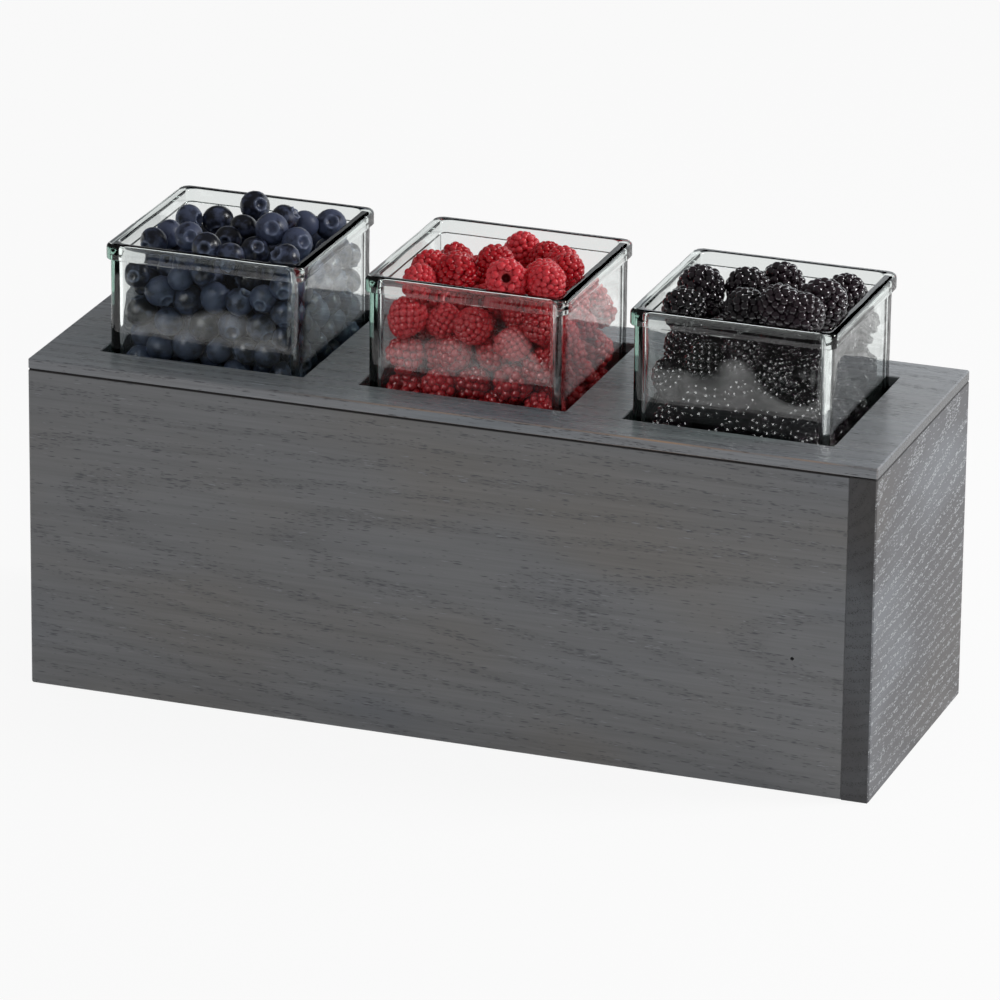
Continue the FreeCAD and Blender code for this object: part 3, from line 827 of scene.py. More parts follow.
@dataclass
class Jar:
    """A pressed square jar, lofted through rounded squares from its foot to its lip and inside."""

    node: str
    glass: bpy.types.Material
    rim_height: float = 6.9 * MM
    rim_corner: float = 5.0 * MM
    rim_overhang: float = 1.9 * MM
    rim_round: float = 1.8 * MM
    rim_under_round: float = 0.8 * MM
    lip_round: float = 1.2 * MM
    wall: float = 3.2 * MM
    floor: float = 8.0 * MM
    inside_corner: float = 4.0 * MM
    draft: float = 0.0 * MM
    inside_round: float = 3.5 * MM
    base_round: float = 3.2 * MM
    foot_ring: float = 9.0 * MM
    foot_recess: float = 1.6 * MM
    ripple: float = 0.2 * MM
    dry_band: float = 9 * MM
    arc_steps: int = 5
    side_steps: int = 16
    corner_steps: int = 6

    def __post_init__(self) -> None:
        """Take the jar's place and size from its solid."""
        low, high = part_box(self.node)
        self.middle = Vector(((low.x + high.x) / 2, (low.y + high.y) / 2, 0.0))
        self.bottom, self.top = low.z, high.z
        self.half = (high.y - low.y) / 2

    def arc(self, half: float, z: float, radius: float, start: float, end: float) -> list[tuple[float, float]]:
        """Points of a quarter round in the jar's section, from one angle to another, in degrees."""
        steps = range(self.arc_steps + 1)
        angles = [math.radians(start + (end - start) * step / self.arc_steps) for step in steps]
        return [(half + radius * math.cos(angle), z + radius * math.sin(angle)) for angle in angles]

    def section(self) -> list[tuple[float, float, float, bool]]:
        """The jar's section, from its foot round to its inside.

        Returns:
            The half side, height and corner radius of each ring, and whether fruit lies on it.
        """
        body = self.half - self.rim_overhang
        under_rim = self.top - self.rim_height
        mouth = body - self.wall
        floor_half = mouth - self.draft
        floor_z = self.bottom + self.floor
        ring = body - self.foot_ring
        lines: list[tuple[float, float]] = []
        lines += [(ring * 0.5, self.bottom + self.foot_recess), (ring, self.bottom + self.foot_recess), (ring, self.bottom)]
        lines += [(body - self.base_round - 2 * MM, self.bottom)]
        lines += self.arc(body - self.base_round, self.bottom + self.base_round, self.base_round, -90, 0)
        heights = 18
        first, last = self.bottom + self.base_round, under_rim
        lines += [(body, first + (last - first) * step / heights) for step in range(1, heights)]
        lines += [(body, under_rim - 0.3 * MM), (body, under_rim)]
        lines += self.arc(self.half - self.rim_under_round, under_rim + self.rim_under_round, self.rim_under_round, -90, 0)
        lines += [(self.half, self.top - self.rim_round - 1.5 * MM)]
        lines += self.arc(self.half - self.rim_round, self.top - self.rim_round, self.rim_round, 0, 90)
        lines += [((self.half - self.rim_round + mouth + self.lip_round) / 2, self.top)]
        lines += self.arc(mouth + self.lip_round, self.top - self.lip_round, self.lip_round, 90, 180)
        high, low = self.top - self.lip_round, floor_z + self.inside_round
        lines += [(mouth - self.draft * step / heights, high + (low - high) * step / heights) for step in range(1, heights)]
        lines += self.arc(floor_half - self.inside_round, floor_z + self.inside_round, self.inside_round, 0, -90)
        lines += [(floor_half * 0.5, floor_z)]
        outer_count = next(i for i, (half, z) in enumerate(lines) if z >= self.top - 0.01 * MM) + 3
        wet_below = self.top - self.dry_band
        return [(half, z, self.corner_at(half, index < outer_count), index >= outer_count and z < wet_below)
                for index, (half, z) in enumerate(lines)]

    def corner_at(self, half: float, outside: bool) -> float:
        """The corner radius of the section's ring at a half side."""
        if outside:
            return max(1.0 * MM, self.rim_corner - (self.half - half))
        inner = self.half - self.rim_overhang - self.wall
        return max(1.0 * MM, self.inside_corner - (inner - half))

    def ring(self, half: float, z: float, corner: float) -> list[Vector]:
        """One rounded square, as points."""
        flat = half - corner
        points = []
        for quarter in range(4):
            turn = Matrix.Rotation(math.radians(90 * quarter), 3, "Z")
            for step in range(self.side_steps):
                share = 2 * step / self.side_steps - 1
                points.append(turn @ Vector((flat * share, -half, 0)))
            for step in range(self.corner_steps):
                angle = math.radians(-90 + 90 * step / self.corner_steps)
                points.append(turn @ Vector((flat + corner * math.cos(angle), -flat + corner * math.sin(angle), 0)))
        return [point + Vector((0, 0, z)) for point in points]

    def build(self) -> bpy.types.Object:
        """Make the jar and let it stand for its solid.

        Returns:
            The jar.
        """
        form = bmesh.new()
        levels = self.section()
        rings = [[form.verts.new(point) for point in self.ring(*level[:3])] for level in levels]
        count = len(rings[0])
        wet = [1.0 if level[3] else 0.0 for level in levels for _ in range(count)]
        for lower, upper in zip(rings, rings[1:]):
            for index in range(count):
                after = (index + 1) % count
                form.faces.new((lower[index], lower[after], upper[after], upper[index]))
        form.faces.new(list(reversed(rings[0])))
        form.faces.new(rings[-1])
        bmesh.ops.triangulate(form, faces=[face for face in form.faces if len(face.verts) > 4])
        for vert in form.verts:
            vert.co += self.ripple_at(vert.co)
            vert.co += self.middle
        bmesh.ops.recalc_face_normals(form, faces=form.faces)
        mesh = bpy.data.meshes.new(self.node + "_pressed")
        form.to_mesh(mesh)
        form.free()
        mesh.attributes.new("wet", "FLOAT", "POINT").data.foreach_set("value", wet)
        mesh.materials.append(self.glass)
        jar = link_mesh(self.node + "_pressed", mesh)
        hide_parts(self.node)
        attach(jar, self.node)
        return jar

    def ripple_at(self, point: Vector) -> Vector:
        """The mould's slight waviness at a point of the walls, none on the foot."""
        if point.z < self.bottom + 2 * self.base_round:
            return Vector((0, 0, 0))
        scale = 60.0
        offset = Vector((self.middle.x * 10, 0, 0))
        push = noise.noise_vector(point * scale + offset)
        return Vector((push.x, push.y, push.z * 0.3)) * self.ripple


@dataclass
class Fruit:
    """One fruit in a jar: where it lies, its radius and how it is turned."""

    place: Vector
    radius: float
    turn: Euler
    on_top: bool = False


@dataclass(frozen=True)
class SeenFruit:
    """A fruit that the photograph shows on top of a heap."""

    across_px: float
    down_px: float
    width: float
    turn: tuple[float, float, float] = (0.4, 0.3, 0.0)


@dataclass
class Heap:
    """Fruit let fall into a jar until it lies still, with the fruit seen on top laid on it."""

    jar: Jar
    view: Viewpoint
    radius: float
    spread: float
    count: int
    level: float
    seed: int
    seen: tuple[SeenFruit, ...]
    steps: int = 240
    rounds: int = 4
    squash: float = 0.96
    clearance: float = 0.35 * MM

    def __post_init__(self) -> None:
        """Take the inside of the jar from its sizes."""
        self.half = self.jar.half - self.jar.rim_overhang - self.jar.wall - self.jar.draft - self.clearance
        self.floor = self.jar.bottom + self.jar.floor + self.clearance
        self.chance = np.random.RandomState(self.seed)

    def settle(self) -> list[Fruit]:
        """Let the fruit fall and push apart, and keep what the glass or the top shows.

        Returns:
            The fruit that can be seen.
        """
        radii = self.radius * (1 + self.spread * (2 * self.chance.rand(self.count) - 1))
        room = (self.half - radii)[:, None]
        places = (2 * self.chance.rand(self.count, 3) - 1) * room
        tall = 2.2 * (self.jar.top - self.floor)
        places[:, 2] = self.floor + radii + tall * np.arange(self.count) / self.count
        sums = (radii[:, None] + radii[None, :]) * self.squash
        for step in range(self.steps):
            places[:, 2] -= (0.3 * (1 - step / self.steps) ** 2 + 0.02) * self.radius
            for _ in range(self.rounds):
                self.push_apart(places, radii, sums)
        turns = self.chance.rand(self.count, 3) * 2 * math.pi
        heap = []
        for place, radius, turn in zip(places, radii, turns):
            if place[2] + radius > self.level:
                continue
            heap.append(Fruit(Vector(place) + self.jar.middle, float(radius), Euler(turn)))
        return [fruit for fruit in heap if self.shows(fruit)]

    def push_apart(self, places: np.ndarray, radii: np.ndarray, sums: np.ndarray) -> None:
        """Push overlapping fruit apart and back inside the walls, in place."""
        gaps = places[:, None, :] - places[None, :, :]
        far = np.sqrt((gaps ** 2).sum(2)) + 1e-9
        over = np.maximum(sums - far, 0.0)
        np.fill_diagonal(over, 0.0)
        places += 0.5 * (gaps / far[:, :, None] * over[:, :, None]).sum(1) * 0.9
        limit = self.half - radii
        places[:, 0] = np.clip(places[:, 0], -limit, limit)
        places[:, 1] = np.clip(places[:, 1], -limit, limit)
        places[:, 2] = np.maximum(places[:, 2], self.floor + radii)

    def shows(self, fruit: Fruit) -> bool:
        """Whether a fruit lies near enough to a wall, the floor or the top to be seen."""
        off = fruit.place - self.jar.middle
        to_wall = self.half - max(abs(off.x), abs(off.y))
        near_wall = to_wall < 2.7 * self.radius
        near_top = off.z > self.level - 5 * self.radius
        near_floor = off.z < self.floor + 2.4 * self.radius
        return near_wall or near_top or near_floor

    def lay_on(self, heap: list[Fruit]) -> list[Fruit]:
        """Lay each fruit that the photograph shows along its line of sight, until it touches.

        Args:
            heap: The fruit that already lies there.

        Returns:
            The heap with the seen fruit on top.
        """
        laid = list(heap)
        for seen in self.seen:
            radius = seen.width / 2
            along = self.view.towards(seen.across_px, seen.down_px)
            start = (self.jar.top + 0.03 - self.view.place.z) / along.z
            point = self.view.place + along * start
            step = 0.4 * MM
            back = self.half - radius
            while (point - self.jar.middle).y < back and not self.touches(point, radius, laid):
                point = point + along * step
            laid.append(Fruit(self.kept_inside(point, radius), radius, Euler(seen.turn), True))
        return laid

    def touches(self, point: Vector, radius: float, heap: list[Fruit]) -> bool:
        """Whether a fruit at a point would press into another one."""
        soft = 0.9
        return any((fruit.place - point).length < soft * (fruit.radius + radius) for fruit in heap)

    def kept_inside(self, point: Vector, radius: float) -> Vector:
        """A point moved off the walls where it lies below the lip."""
        off = point - self.jar.middle
        limit = self.half - radius
        if off.z < self.jar.top + radius / 2:
            off.x = min(max(off.x, -limit), limit)
            off.y = min(max(off.y, -limit), limit)
        return off + self.jar.middle


@dataclass
class BlueberryForm:
    """A round berry, a little flat, with a star of dry sepals round a pit at its top."""

    segments: int = 20
    rings: int = 12
    flatness: float = 0.88
    crown_at: float = 0.4
    crown_rise: float = 0.11
    pit_depth: float = 0.24
    lobes: int = 5

    def build(self, name: str) -> bpy.types.Object:
        """Make one berry of radius 1.

        Args:
            name: The object's name.

        Returns:
            The berry, with a "part" attribute of 1 on its sepals.
        """
        form = bmesh.new()
        part_of: list[float] = []
        levels = [math.pi * (step + 1) / self.rings for step in range(self.rings - 1)]
        levels = [0.12, 0.25, 0.33, 0.4, 0.47, 0.55] + [level for level in levels if level > 0.62]
        rings = []
        for polar in levels:
            ring = []
            for step in range(self.segments):
                turn = 2 * math.pi * step / self.segments
                point, part = self.point(polar, turn)
                ring.append(form.verts.new(point))
                part_of.append(part)
            rings.append(ring)
        top = form.verts.new((0, 0, self.flatness * (1 - self.pit_depth)))
        bottom = form.verts.new((0, 0, -self.flatness))
        part_of += [0.0, 0.0]
        for upper, lower in zip(rings, rings[1:]):
            for index in range(self.segments):
                after = (index + 1) % self.segments
                form.faces.new((upper[index], lower[index], lower[after], upper[after]))
        for index in range(self.segments):
            after = (index + 1) % self.segments
            form.faces.new((top, rings[0][index], rings[0][after]))
            form.faces.new((bottom, rings[-1][after], rings[-1][index]))
        bmesh.ops.recalc_face_normals(form, faces=form.faces)
        return finish_template(name, form, part_of)

    def point(self, polar: float, turn: float) -> tuple[Vector, float]:
        """A point of the skin at an angle from the top and round it, and whether it is a sepal."""
        lobe = 0.5 + 0.5 * math.cos(self.lobes * turn)
        edge = math.exp(-((polar - self.crown_at) / 0.08) ** 2)
        pit = max(0.0, 1 - polar / self.crown_at)
        radius = 1 + self.crown_rise * edge * (0.3 + 1.1 * lobe) - self.pit_depth * min(1.0, pit * 1.6)
        flat = radius * math.cos(polar) * self.flatness
        wide = radius * math.sin(polar)
        part = edge * (0.45 + 0.55 * lobe)
        return Vector((wide * math.cos(turn), wide * math.sin(turn), flat)), part


def finish_template(name: str, form: bmesh.types.BMesh, part_of: list[float]) -> bpy.types.Object:
    """Turn a form into a hidden pattern object that the trees copy.

    Args:
        name: The object's name.
        form: The form, which is freed.
        part_of: The "part" number of each vertex.

    Returns:
        The pattern.
    """
    mesh = bpy.data.meshes.new(name)
    form.to_mesh(mesh)
    form.free()
    mesh.attributes.new("part", "FLOAT", "POINT").data.foreach_set("value", part_of)
    return link_mesh(name, mesh)


@dataclass
class CaneFruitForm:
    """A raspberry or blackberry: drupelets packed in a spiral over a rounded cone."""

    drupelets: int = 64
    length: float = 1.0
    girth: float = 0.82
    taper: float = 0.35
    drupelet: float = 0.2
    hollow: bool = True
    segments: int = 8
    rings: int = 3
    seed: int = 1

    def profile(self, share: float) -> tuple[float, float]:
        """The core's radius and height at a share of the way from its base to its tip."""
        angle = math.radians(-62) + share * math.radians(152)
        squeeze = 1 - self.taper * max(0.0, share - 0.3)
        return self.girth * math.cos(angle) * squeeze, self.length * math.sin(angle) * 0.92

    def lattice(self) -> list[tuple[Vector, Vector]]:
        """Places and outward directions of the drupelets, on a golden-angle spiral."""
        golden = math.pi * (3 - math.sqrt(5))
        spots = []
        shares = self.even_shares()
        for index, share in enumerate(shares):
            turn = index * golden
            radius, height = self.profile(share)
            ahead, above = self.profile(min(1.0, share + 0.01))
            slope = Vector((above - height, radius - ahead))
            slope.normalize()
            place = Vector((radius * math.cos(turn), radius * math.sin(turn), height))
            out = Vector((slope.x * math.cos(turn), slope.x * math.sin(turn), slope.y))
            spots.append((place * (1 - self.drupelet * 0.75), out))
        return spots

    def even_shares(self) -> list[float]:
        """Shares of the way to the tip that give each drupelet the same area."""
        fine = 400
        areas = [0.0]
        for step in range(fine):
            low, high = self.profile(step / fine), self.profile((step + 1) / fine)
            run = math.hypot(high[0] - low[0], high[1] - low[1])
            areas.append(areas[-1] + run * (low[0] + high[0]) / 2)
        shares = []
        position = 0
        for index in range(self.drupelets):
            wanted = areas[-1] * (index + 0.5) / self.drupelets
            while areas[position] < wanted:
                position += 1
            shares.append(position / fine)
        return shares

    def dome(self) -> bpy.types.Object:
        """One drupelet: the outer part of a ball."""
        form = bmesh.new()
        top = form.verts.new((0, 0, 1))
        last = [top]
        deepest = math.radians(105)
        for ring in range(1, self.rings + 1):
            polar = deepest * ring / self.rings
            now = []
            for step in range(self.segments):
                turn = 2 * math.pi * (step + 0.5 * (ring % 2)) / self.segments
                now.append(form.verts.new((math.sin(polar) * math.cos(turn), math.sin(polar) * math.sin(turn), math.cos(polar))))
            for index in range(self.segments):
                after = (index + 1) % self.segments
                if ring == 1:
                    form.faces.new((top, now[index], now[after]))
                else:
                    form.faces.new((last[index], now[index], now[after], last[after]))
            last = now
        form.faces.new(list(reversed(last)))
        return finish_template("drupelet", form, [0.0] * len(form.verts))

    def core(self) -> bpy.types.Object:
        """The body beneath the drupelets, open at its base where the fruit is hollow."""
        form = bmesh.new()
        steps, round_steps = 7, 14
        outer = [self.profile(step / steps) for step in range(steps)]
        line = [(radius * 0.84, height * 0.84) for radius, height in outer]
        if self.hollow:
            base = line[0]
            inner = [(base[0] * 0.62 * (1 - step / 4) ** 0.6, base[1] + 1.15 * self.length * step / 4) for step in range(4)]
            line = list(reversed(inner)) + line
        part_of: list[float] = []
        rings = []
        for index, (radius, height) in enumerate(line):
            inside = self.hollow and index < 4
            turns = [2 * math.pi * step / round_steps for step in range(round_steps)]
            rings.append([form.verts.new((radius * math.cos(turn), radius * math.sin(turn), height)) for turn in turns])
            part_of += [1.0 if inside else 0.0] * round_steps
        for lower, upper in zip(rings, rings[1:]):
            for index in range(round_steps):
                after = (index + 1) % round_steps
                form.faces.new((lower[index], lower[after], upper[after], upper[index]))
        form.faces.new(list(reversed(rings[0])))
        form.faces.new(rings[-1])
        bmesh.ops.recalc_face_normals(form, faces=form.faces)
        return finish_template("fruit_core", form, part_of)

    def build(self, name: str) -> bpy.types.Object:
        """Make one fruit of about radius 1.

        Args:
            name: The object's name.

        Returns:
            The fruit.
        """
        spots = self.lattice()
        mesh = bpy.data.meshes.new("drupelet_places")
        mesh.from_pydata([place for place, _ in spots], [], [])
        out = mesh.attributes.new("out", "FLOAT_VECTOR", "POINT")
        out.data.foreach_set("vector", [number for _, way in spots for number in way])
        places = bpy.data.objects.new("drupelet_places", mesh)
        bpy.context.scene.collection.objects.link(places)
        dome, core = self.dome(), self.core()
        values = {"Drupelet": dome, "Core": core, "Drupelet Size": self.drupelet, "Seed": self.seed}
        result = run_tree(places, drupelet_tree(), values)
        result.name = name
        for helper in (places, dome, core):
            bpy.data.objects.remove(helper)
        return link_mesh(name, result)


def drupelet_tree() -> bpy.types.NodeTree:
    """The tree that covers a core with drupelets; it is made once.

    Returns:
        The geometry tree.
    """
    known = bpy.data.node_groups.get("cover_with_drupelets")
    if known:
        return known
    kinds = {"Drupelet": "NodeSocketObject", "Core": "NodeSocketObject", "Drupelet Size": "NodeSocketFloat",
             "Seed": "NodeSocketInt", "Material": "NodeSocketMaterial"}
    sheet, given = geometry_tree("cover_with_drupelets", kinds)
    out = sheet.add("GeometryNodeInputNamedAttribute", {0: "out"}, data_type="FLOAT_VECTOR").outputs[0]
    lean = sheet.add("FunctionNodeAlignRotationToVector", {"Vector": out}, axis="Z").outputs[0]
    chance = sheet.add("FunctionNodeRandomValue", data_type="FLOAT")
    chance.inputs[2].default_value = 0.86
    chance.inputs[3].default_value = 1.12
    sheet.put(chance.inputs["Seed"], given.outputs["Seed"])
    size = sheet.math("MULTIPLY", chance.outputs[1], given.outputs["Drupelet Size"])
    dome = sheet.add("GeometryNodeObjectInfo", {"Object": given.outputs["Drupelet"]}).outputs["Geometry"]
    core = sheet.add("GeometryNodeObjectInfo", {"Object": given.outputs["Core"]}).outputs["Geometry"]
    spread = sheet.add("GeometryNodeInstanceOnPoints",
                       {"Points": given.outputs["Geometry"], "Instance": dome, "Rotation": lean, "Scale": size})
    joined = sheet.add("GeometryNodeJoinGeometry")
    sheet.put(joined.inputs[0], spread.outputs[0])
    sheet.put(joined.inputs[0], core)
    return end_tree(sheet, joined.outputs[0], given.outputs["Material"])


def heap_tree() -> bpy.types.NodeTree:
    """The tree that puts a fruit on each point of a heap; it is made once.

    Returns:
        The geometry tree.
    """
    known = bpy.data.node_groups.get("heap_of_fruit")
    if known:
        return known
    kinds = {"Fruit Kinds": "NodeSocketCollection", "Fruit Scale": "NodeSocketFloat",
             "Seed": "NodeSocketInt", "Material": "NodeSocketMaterial"}
    sheet, given = geometry_tree("heap_of_fruit", kinds)
    turn = sheet.add("GeometryNodeInputNamedAttribute", {0: "turn"}, data_type="FLOAT_VECTOR").outputs[0]
    size = sheet.add("GeometryNodeInputNamedAttribute", {0: "size"}, data_type="FLOAT").outputs[0]
    angle = sheet.add("FunctionNodeEulerToRotation", {0: turn}).outputs[0]
    scale = sheet.math("MULTIPLY", size, given.outputs["Fruit Scale"])
    kinds_of = sheet.add("GeometryNodeCollectionInfo", {"Collection": given.outputs["Fruit Kinds"],
                                                        "Separate Children": True, "Reset Children": True})
    spread = sheet.add("GeometryNodeInstanceOnPoints",
                       {"Points": given.outputs["Geometry"], "Instance": kinds_of.outputs[0],
                        "Pick Instance": True, "Rotation": angle, "Scale": scale})
    chance = sheet.add("FunctionNodeRandomValue", data_type="FLOAT")
    sheet.put(chance.inputs["Seed"], given.outputs["Seed"])
    toned = sheet.add("GeometryNodeStoreNamedAttribute",
                      {"Geometry": spread.outputs[0], "Name": "tone", "Value": chance.outputs[1]},
                      data_type="FLOAT", domain="INSTANCE")
    return end_tree(sheet, toned.outputs[0], given.outputs["Material"])


@dataclass
class JarFilling:
    """The fruit in one jar: the detailed fruit on top and the plainer fruit below it."""

    name: str
    heap: Heap
    skin: bpy.types.Material
    top_forms: tuple[BlueberryForm | CaneFruitForm, ...]
    low_forms: tuple[BlueberryForm | CaneFruitForm, ...]
    seed: int = 3

    def build(self) -> list[bpy.types.Object]:
        """Make both pieces; they ride on the jar.

        Returns:
            The pieces.
        """
        lying = self.heap.lay_on(self.heap.settle())
        high = self.heap.level - 2.6 * self.heap.radius
        top = [fruit for fruit in lying if fruit.on_top or fruit.place.z > high]
        low = [fruit for fruit in lying if fruit not in top]
        pieces = [self.place(self.name + "_on_top", top, self.top_forms),
                  self.place(self.name + "_below", low, self.low_forms)]
        LOG.info("%s: %d on top, %d below, %s faces", self.name, len(top), len(low), [len(piece.data.polygons) for piece in pieces])
        return pieces

    def place(self, name: str, fruits: list[Fruit], forms: tuple[BlueberryForm | CaneFruitForm, ...]) -> bpy.types.Object:
        """Make one piece from fruit that lies in place.

        Args:
            name: The piece's name.
            fruits: Where its fruit lies.
            forms: The patterns to pick from.

        Returns:
            The piece.
        """
        patterns = bpy.data.collections.new(name + "_patterns")
        for number, form in enumerate(forms):
            pattern = form.build("%s_pattern_%d" % (name, number))
            bpy.context.scene.collection.objects.unlink(pattern)
            patterns.objects.link(pattern)
        mesh = bpy.data.meshes.new(name + "_points")
        mesh.from_pydata([fruit.place for fruit in fruits], [], [])
        turns = mesh.attributes.new("turn", "FLOAT_VECTOR", "POINT")
        turns.data.foreach_set("vector", [angle for fruit in fruits for angle in fruit.turn])
        sizes = mesh.attributes.new("size", "FLOAT", "POINT")
        sizes.data.foreach_set("value", [fruit.radius for fruit in fruits])
        points = bpy.data.objects.new(name + "_points", mesh)
        bpy.context.scene.collection.objects.link(points)
        values = {"Fruit Kinds": patterns, "Fruit Scale": 1.0, "Seed": self.seed, "Material": self.skin}
        result = run_tree(points, heap_tree(), values)
        result.name = name
        for pattern in list(patterns.objects):
            bpy.data.objects.remove(pattern)
        bpy.data.collections.remove(patterns)
        bpy.data.objects.remove(points)
        piece = link_mesh(name, result)
        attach(piece, self.heap.jar.node)
        return piece


@dataclass
class OakBox:
    """The stained boards, battens, shelf and screws, which keep their own solids."""

    nodes: dict[str, bpy.types.Object]

    def dress(self) -> None:
        """Give each solid its own cut of the stained oak."""
        for finish, node in self.finishes():
            self.give(node, finish.material())
        zinc = PlainMetal().material()
        for node in ("front_cleat_screws", "back_cleat_screws"):
            self.give(node, zinc)

    def finishes(self) -> list[tuple[StainedOak, str]]:
        """The finish of every wooden solid."""
        made = []
        # The side boards get painted seam shade along their top edges.
        side_board = dict(seam_shade_above=True)
        lies = {
            "front_board": (Lie.UPRIGHT_ALONG_X, dict(pith_across=0.005, pith_through=0.042, lean_through=0.07,
                                                      lean_across=0.06, ring_width=6.5 * MM, pores=0.42,
                                                      stray_pores=0.2, gloss=0.2)),
            "back_board": (Lie.UPRIGHT_ALONG_X, dict(pith_across=-0.02, pith_through=-0.05, lean_through=-0.08,
                                                     lean_across=-0.05)),
            "left_end_board": (Lie.UPRIGHT_ALONG_Y, dict(pith_across=0.02, pith_through=0.04, lean_through=0.25, pores=0.8,
                                                         wax_share=0.7, pore_length=4.0 * MM)),
            # The right end board's whiter, fuller pore wax is a painted highlight for the side light grazing its pores,
            # and its darker stain is painted shade that evens out the extra light falling on this side.
            "right_end_board": (Lie.UPRIGHT_ALONG_Y, dict(pith_across=0.075, pith_through=-0.03, lean_through=0.12,
                                                          lean_across=0.02, pores=1.0, wax_share=0.95, ring_width=5.5 * MM,
                                                          pore_length=3.6 * MM, pore_wax=linear(205, 208, 212),
                                                          stain=linear(104, 104, 107), warm_stain=linear(104, 102, 102))),
        }
        lies = {node: (lie, sizes | side_board) for node, (lie, sizes) in lies.items()}
        lies |= {
            "top_board": (Lie.FLAT_ALONG_X, dict(pith_across=0.01, pith_through=-0.06, lean_through=0.06, lean_across=0.03,
                                                 roughness=0.26, gloss=0.9, seam_shade_below=True, stain=linear(126, 129, 134),
                                                 warm_stain=linear(125, 126, 129), cool_stain=linear(118, 126, 134),
                                                 pore_wax=linear(130, 134, 140), pore_dark=linear(66, 68, 73),
                                                 end_grain=0.42, wear=0.9, worn_from=-0.09,
                                                 streak_show=0.8, fibre_show=0.6, sway=9 * MM)),
            "jar_shelf": (Lie.FLAT_ALONG_X, {}),
            "front_cleat": (Lie.UPRIGHT_ALONG_X, {}),
            "back_cleat": (Lie.UPRIGHT_ALONG_X, {}),
        }
        battens = ("left_end_batten", "left_web_batten", "right_web_batten", "right_end_batten")
        lies |= {node: (Lie.FLAT_ALONG_Y, {}) for node in battens}
        for number, (node, (lie, sizes)) in enumerate(lies.items()):
            low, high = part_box(node)
            made.append((StainedOak(name=node + "_oak", lie=lie, low=low, high=high, seed=1.7 * number + 0.4, **sizes), node))
        return made

    def give(self, node: str, material: bpy.types.Material) -> None:
        """Put a material on a solid."""
        mesh = self.nodes[node].data
        mesh.materials.clear()
        mesh.materials.append(material)
        LOG.info("%s dressed in %s", node, material.name)


FACING = (1.2, 0.0, 0.34)
BLUEBERRIES_SEEN = (
    SeenFruit(333, 225, 14.0 * MM, (0.9, 0.6, 0.0)), SeenFruit(305, 224, 12.5 * MM, (2.0, 0.2, 0.0)),
    SeenFruit(189, 219, 13.0 * MM, (0.2, 1.4, 0.0)), SeenFruit(285, 219, 13.0 * MM, (0.5, 0.9, 0.8)),
    SeenFruit(255, 206, 13.5 * MM, (0.9, 0.9, 0.3)), SeenFruit(218, 220, 14.0 * MM, (2.3, -0.5, 0.0)),
    SeenFruit(169, 234, 13.0 * MM, (0.2, -1.3, 0.0)), SeenFruit(244, 228, 13.0 * MM, (2.4, 0.4, 0.2)),
    SeenFruit(272, 229, 14.5 * MM, FACING), SeenFruit(189, 236, 12.5 * MM, (1.0, 1.0, 0.0)),
    SeenFruit(228, 240, 12.5 * MM, (1.4, 0.7, 0.0)), SeenFruit(297, 243, 14.0 * MM, (1.2, 0.3, 0.8)),
    SeenFruit(154, 241, 12.5 * MM, (2.0, 0.9, 0.0)), SeenFruit(204, 249, 13.0 * MM, (1.3, -0.5, 0.3)),
    SeenFruit(255, 251, 13.0 * MM, (0.8, 0.5, 0.2)), SeenFruit(229, 257, 12.5 * MM, (2.2, 0.2, 0.4)),
    SeenFruit(286, 260, 13.5 * MM, (0.7, -0.7, 0.0)),
)
RASPBERRIES_SEEN = (
    SeenFruit(523, 249, 18.0 * MM, (0.5, 0.2, 0.4)), SeenFruit(495, 262, 18.0 * MM, (0.9, -0.8, 0.0)),
    SeenFruit(547, 259, 18.0 * MM, (0.7, 0.8, 0.0)), SeenFruit(562, 264, 17.0 * MM, (1.3, 0.5, 0.0)),
    SeenFruit(577, 271, 17.0 * MM, (0.4, 1.2, 0.0)), SeenFruit(430, 268, 18.5 * MM, (1.0, -0.9, 0.0)),
    SeenFruit(457, 272, 20.0 * MM, (0.9, 0.9, 0.3)), SeenFruit(544, 278, 19.0 * MM, (1.3, -0.4, 0.6)),
    SeenFruit(506, 279, 20.0 * MM, (-1.95, 0.1, 0.3)), SeenFruit(567, 284, 18.0 * MM, (0.8, 0.9, 0.0)),
    SeenFruit(419, 281, 17.0 * MM, (1.6, 0.2, 0.0)),
)
BLACKBERRIES_SEEN = (
    SeenFruit(854, 296, 21.0 * MM, (0.8, 0.9, 0.2)), SeenFruit(782, 285, 22.0 * MM, (0.4, 0.4, 0.0)),
    SeenFruit(748, 289, 22.0 * MM, (0.9, -0.6, 0.0)), SeenFruit(701, 289, 23.5 * MM, (0.9, 0.3, 0.2)),
    SeenFruit(828, 305, 24.0 * MM, (1.1, 0.8, 0.0)), SeenFruit(802, 315, 22.0 * MM, (1.5, 0.2, 0.0)),
    SeenFruit(742, 315, 22.0 * MM, (1.4, 0.1, 0.5)), SeenFruit(769, 318, 21.0 * MM, (0.9, 0.9, 0.6)),
    SeenFruit(683, 309, 21.0 * MM, (1.2, -0.9, 0.0)),
)


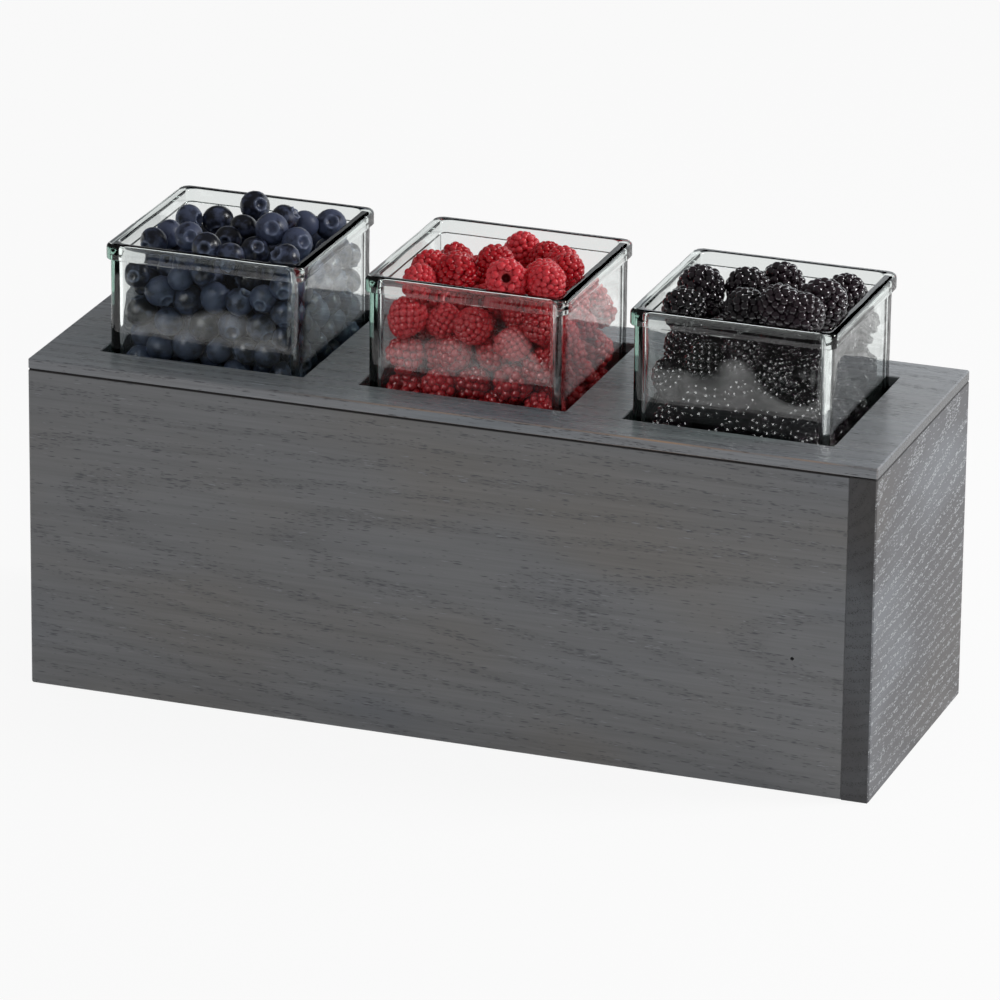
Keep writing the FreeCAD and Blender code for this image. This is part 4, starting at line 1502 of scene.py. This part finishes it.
def fill_jars(jars: dict[str, Jar], view: Viewpoint) -> None:
    """Fill the jars with berries.

    Args:
        jars: The jars by node.
        view: The photograph's camera, which gives the lines of sight to the fruit on top.
    """
    blue = BerrySkin("blueberries_skin", linear(30, 34, 50), linear(14, 16, 24), linear(84, 94, 124), linear(112, 122, 148),
                     bloom_share=0.62, bloom_scale=230.0, roughness=0.28).material()
    red = BerrySkin("raspberries_skin", linear(222, 28, 48), linear(182, 8, 26), linear(240, 104, 110), linear(186, 52, 56),
                    bloom_share=0.25, roughness=0.26, subsurface=0.35, coat=0.4, bloom_scale=160.0).material()
    black = BerrySkin("blackberries_skin", linear(30, 20, 28), linear(12, 8, 13), linear(60, 32, 46), linear(60, 40, 40),
                      bloom_share=0.2, roughness=0.16, coat=1.0, bloom_scale=160.0).material()
    top = jars["left_jar"].top
    blue_heap = Heap(jars["left_jar"], view, 6.6 * MM, 0.12, 420, top - 4 * MM, 11, BLUEBERRIES_SEEN)
    red_heap = Heap(jars["middle_jar"], view, 9.2 * MM, 0.08, 175, top - 5 * MM, 12, RASPBERRIES_SEEN, squash=0.88)
    black_heap = Heap(jars["right_jar"], view, 10.8 * MM, 0.08, 120, top - 6 * MM, 13, BLACKBERRIES_SEEN, squash=0.86)
    full_berry, plain_berry = BlueberryForm(), BlueberryForm(segments=12, rings=8)
    JarFilling("blueberries", blue_heap, blue, (full_berry,), (plain_berry,)).build()
    red_forms = tuple(CaneFruitForm(seed=seed, drupelets=78, girth=0.84 + 0.03 * seed, length=1.02 - 0.04 * seed,
                                    drupelet=0.2) for seed in range(3))
    plain_red = tuple(CaneFruitForm(seed=seed, drupelets=48, girth=0.84 + 0.03 * seed, drupelet=0.24, segments=6,
                                    rings=2) for seed in range(2))
    JarFilling("raspberries", red_heap, red, red_forms, plain_red).build()
    black_forms = tuple(CaneFruitForm(seed=seed, drupelets=74, girth=0.84 + 0.03 * seed, length=1.0, drupelet=0.2,
                                      taper=0.15, hollow=False) for seed in range(3))
    plain_black = tuple(CaneFruitForm(seed=seed, drupelets=50, girth=0.84 + 0.03 * seed, drupelet=0.245, taper=0.15,
                                      hollow=False, segments=6, rings=2) for seed in range(2))
    JarFilling("blackberries", black_heap, black, black_forms, plain_black).build()


def main() -> None:
    """Build the view, the room, the box, the jars and their berries, in that order."""
    logging.basicConfig(level=logging.INFO, format="%(message)s")
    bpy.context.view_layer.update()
    view = Viewpoint()
    view.build()
    Studio().build()
    OakBox(frame["nodes"]).dress()
    glass = JarGlass().material()
    jars = {node: Jar(node, glass) for node in ("left_jar", "middle_jar", "right_jar")}
    for node, jar in jars.items():
        jar.build()
        LOG.info("%s pressed", node)
    fill_jars(jars, view)
    bpy.context.scene.view_settings.view_transform = "Standard"


if __name__ == "__main__":
    main()
